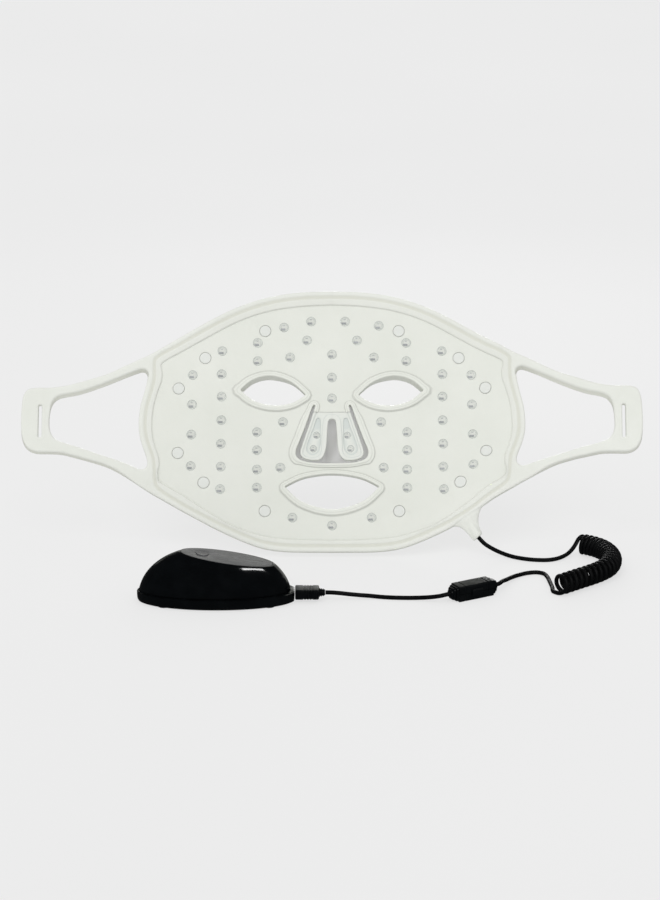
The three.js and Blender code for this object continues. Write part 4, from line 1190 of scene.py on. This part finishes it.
def base_shell():
    """The shallow tray under the dome, with a stepped flange and a flat end round the socket."""
    shape = Shape()
    shape.solid([
        shape.ring(ellipse(BASE_LENGTH, BASE_WIDTH, inset, 120, end=BASE_END - inset * 0.5), z)
        for inset, z in BASE_ROWS])
    obj = shape.made("base_tray", CONTROLLER, GLOSS, sharp=30)
    piece(obj, "controller", "gloss_black", "base_shell")


def dome_point(turn, z):
    """A point of the dome, as it would be with no top cut off it."""
    size = max(0.0, 1 - (z / DOME_RISE) ** DOME_POWER) ** (1 / DOME_POWER)
    x = DOME_SHIFT + DOME_LENGTH / 2 * size * math.cos(turn)
    return x, DOME_WIDTH / 2 * size * math.sin(turn), z


def dome():
    """The gloss dome, swept up to the sharp edge of its sloped oval top, which has a seat for the panel."""
    shape = Shape()
    count, steps = 144, 26
    low = BASE_TOP + 0.3
    columns = []
    for turn in turns(count):
        below, above = low, DOME_RISE
        for _ in range(BISECTIONS):
            x, _, z = dome_point(turn, (below + above) / 2)
            if z < SLOPE_AT[1] - math.tan(SLOPE) * (x - SLOPE_AT[0]):
                below = z
            else:
                above = z
        heights = [low + (below - low) * (k / steps) ** 0.9 for k in range(steps + 1)]
        columns.append([dome_point(turn, z) for z in heights])
    loops = [shape.ring(ellipse(DOME_LENGTH, DOME_WIDTH, 1.2, count, DOME_SHIFT), low + 0.02)]
    loops += [shape.ring([column[k] for column in columns]) for k in range(steps)]
    edge = np.array([column[-1] for column in columns])
    inward = np.array([SLOPE_AT[0], 0, SLOPE_AT[1]]) - edge
    inward /= np.linalg.norm(inward, axis=1)[:, None]
    loops.append(shape.ring(edge + np.array([0, 0, -0.06])))
    loops.append(shape.ring(edge + inward * 0.22))
    for inset, depth in ((0, 0), (0.1, -1.2)):
        oval = ellipse(PANEL_LENGTH + SEAT_GAP, PANEL_WIDTH + SEAT_GAP, inset, count)
        loops.append(shape.ring(sloped([(x, y, depth) for x, y in oval])))
    shape.solid(loops)
    obj = shape.made("upper_dome", CONTROLLER, GLOSS, sharp=24)
    piece(obj, "controller", "gloss_black", "upper_shell")


def top_panel():
    """The oval satin panel, flush in the sloped top, with a round hole for the button."""
    shape = Shape()
    outer = shape.rings([
        shape.ring(ellipse(PANEL_LENGTH, PANEL_WIDTH, inset, 120), w) for inset, w in PANEL_ROWS])
    hole = shape.rings(shape.turned(BUTTON_AT, 0, BUTTON_HOLE, 48))
    shape.fill([outer[-1], hole[-1]])
    shape.fill([outer[0], hole[0]])
    shape.points = sloped(shape.points)
    obj = shape.made("satin_top", CONTROLLER, FACET, sharp=30)
    piece(obj, "controller", "grey_panel", "top_panel")


def power_button():
    """A round button on its stem, with a dished face."""
    shape = Shape()
    shape.solid(shape.turned(BUTTON_AT, 0, BUTTON_ROWS, 48))
    shape.points = sloped(shape.points)
    obj = shape.made("button_cap", CONTROLLER, FACET, sharp=40)
    piece(obj, "power_button", "grey_panel", "power_button")


def rounded_box(y_half, z_half, corner, count=6):
    """A rectangle with round corners, as (y, z) points about the plug's axis."""
    points = []
    for quarter, (sy, sz) in enumerate(((1, 1), (-1, 1), (-1, -1), (1, -1))):
        for k in range(count):
            turn = math.pi / 2 * (quarter + k / (count - 1))
            y = sy * (y_half - corner) + corner * math.cos(turn)
            z = sz * (z_half - corner) + corner * math.sin(turn)
            points.append((y, z))
    return points


# the grip by stations: (place, half width, half height, corner radius)
GRIP_START = [(0, 5.6, 2.9, 1.4), (0.3, 6.2, 3.4, 1.6), (0.9, 6.5, 3.5, 1.7), (4.6, 6.5, 3.5, 1.7)]
GRIP_GROOVE = [(0, 6.45, 3.5, 1.7), (0.25, 6.0, 3.2, 1.6), (0.75, 6.0, 3.2, 1.6), (1.0, 6.4, 3.45, 1.7)]
GROOVES_AT = (5.4, 7.3, 9.2, 11.1)
GRIP_END = [(13.4, 6.45, 3.5, 1.7), (15.7, 6.4, 3.5, 1.8), (16.2, 5.9, 3.35, 2.0), (16.4, 5.0, 3.1, 2.2)]
# a rib of the strain relief: (place, how much thinner than the rib, corner radius as a share of its width)
RELIEF_RIB = [(0, 0, 0.99), (0.65, 0.05, 0.95), (0.72, 0.55, 0.78), (1.15, 0.6, 0.76)]
RELIEF_RIBS = [(16.6, 3.0), (17.85, 2.8), (19.1, 2.6)]  # (place, half width)
RELIEF_END = [(20.35, 2.2, 2.2, 2.15), (20.6, 1.9, 1.9, 1.85)]


def plug_body():
    """The plug's moulded grip with finger grooves, running into a ribbed strain relief."""
    rows = list(GRIP_START)
    for at in GROOVES_AT:
        rows += [(at + x, wide, high, corner) for x, wide, high, corner in GRIP_GROOVE]
    rows += GRIP_END
    for at, wide in RELIEF_RIBS:
        rows += [(at + x, wide - less, wide - less, wide * share) for x, less, share in RELIEF_RIB]
    rows += RELIEF_END
    sections = []
    for x, wide, high, corner in rows:
        section = rounded_box(wide, high, min(corner, high - 0.02, wide - 0.02))
        sections.append([(PLUG_START + x, y, SOCKET_Z + z) for y, z in section])
    shape = Shape()
    shape.stacked(sections)
    obj = shape.made("plug_grip", CONTROLLER, BLACK, sharp=35)
    return piece(obj, "face_panel", "black_plastic", "plug_body")


def finish_cad_nodes():
    """Materials for the CAD nodes that stay in view or inside."""
    finishes = {
        STEEL: ["usb_socket", "plug_shell", "screw_1", "screw_2", "screw_3", "screw_4"],
        RUBBER: ["foot_1", "foot_2", "foot_3", "foot_4"],
        BOARD: ["main_board", "button_board", "junction_board"],
        FILM: ["forehead_circuit", "cheek_circuit_right", "cheek_circuit_left", "chin_circuit"],
        IRON: ["ferrite_core_lower", "ferrite_core_upper"],
        BLACK: ["tact_switch"],
        FOIL: ["battery"],
    }
    for material, names in finishes.items():
        for name in names:
            for slot in frame["nodes"][name].material_slots:
                slot.material = material


# ---- the studio ----
def floor_material():
    finish = Finish("pale_floor")
    finish.look({
        "Base Color": finish.spread(finish.noise(1.5, 2), (0.195, 0.195, 0.195), (0.205, 0.205, 0.205)),
        "Roughness": 0.9,
        "Specular IOR Level": 0.1,
        "Emission Color": (1, 1, 1, 1),
        "Emission Strength": FLOOR_GLOW,
    })
    return finish.material


def add_softbox(name, place, target, size, power):
    """A soft box that only shows in reflections, and so puts a highlight on the gloss without lighting."""
    light = bpy.data.lights.new(name, "AREA")
    light.shape = "RECTANGLE"
    light.size, light.size_y = size
    light.energy = power
    obj = added(name, light)
    obj.location = place
    obj.rotation_euler = (Vector(target) - Vector(place)).to_track_quat("-Z", "Y").to_euler()
    obj.visible_diffuse = False
    obj.visible_camera = False


def studio():
    bpy.ops.mesh.primitive_plane_add(size=FLOOR_SIZE)
    floor = bpy.context.object
    floor.name = "floor"
    floor.data.materials.append(floor_material())
    floor.visible_glossy = False
    world = bpy.data.worlds.new("studio")
    bpy.context.scene.world = world
    world.use_nodes = True
    tree = world.node_tree
    background = tree.nodes["Background"]
    path = tree.nodes.new("ShaderNodeLightPath")
    dim = tree.nodes.new("ShaderNodeMapRange")
    dim.inputs["To Min"].default_value = WORLD_LIGHT
    dim.inputs["To Max"].default_value = WORLD_GLOSS
    tree.links.new(path.outputs["Is Glossy Ray"], dim.inputs["Value"])
    tree.links.new(dim.outputs[0], background.inputs["Strength"])
    background.inputs["Color"].default_value = (1, 1, 1, 1)
    sun = bpy.data.lights.new("key", "SUN")
    sun.energy = SUN_LIGHT
    sun.angle = SUN_WIDTH
    key = added("key", sun)
    key.rotation_euler = SUN_TURN
    key.visible_glossy = False
    for box in SOFTBOXES:
        add_softbox(*box)


def camera():
    data = bpy.data.cameras.new("camera")
    data.lens = CAMERA_LENS
    data.sensor_width = SENSOR_WIDTH
    data.clip_end = 100
    obj = added("camera", data)
    obj.location = Vector(CAMERA_AT) * MM
    obj.rotation_euler = (math.radians(90 - CAMERA_DOWN), 0, 0)
    bpy.context.scene.camera = obj
    bpy.context.scene.view_settings.view_transform = "Standard"


camera()
studio()
cord, cord_exit, cord_length = lead()
panel_skin()
back_plate()
shell_half(1, "right")
shell_half(-1, "left")
rivet_pads()
lamp_set("face_lamp", "face_panel", LAMPS, 0, 1.0)
nose_flap(1, "right")
nose_flap(-1, "left")
nose_cover()
gland()
clip = [ferrite_half(-1, "lower", "face_panel"), ferrite_half(1, "upper", "ferrite_lid")]
base_shell()
dome()
top_panel()
power_button()
grip = plug_body()
finish_cad_nodes()
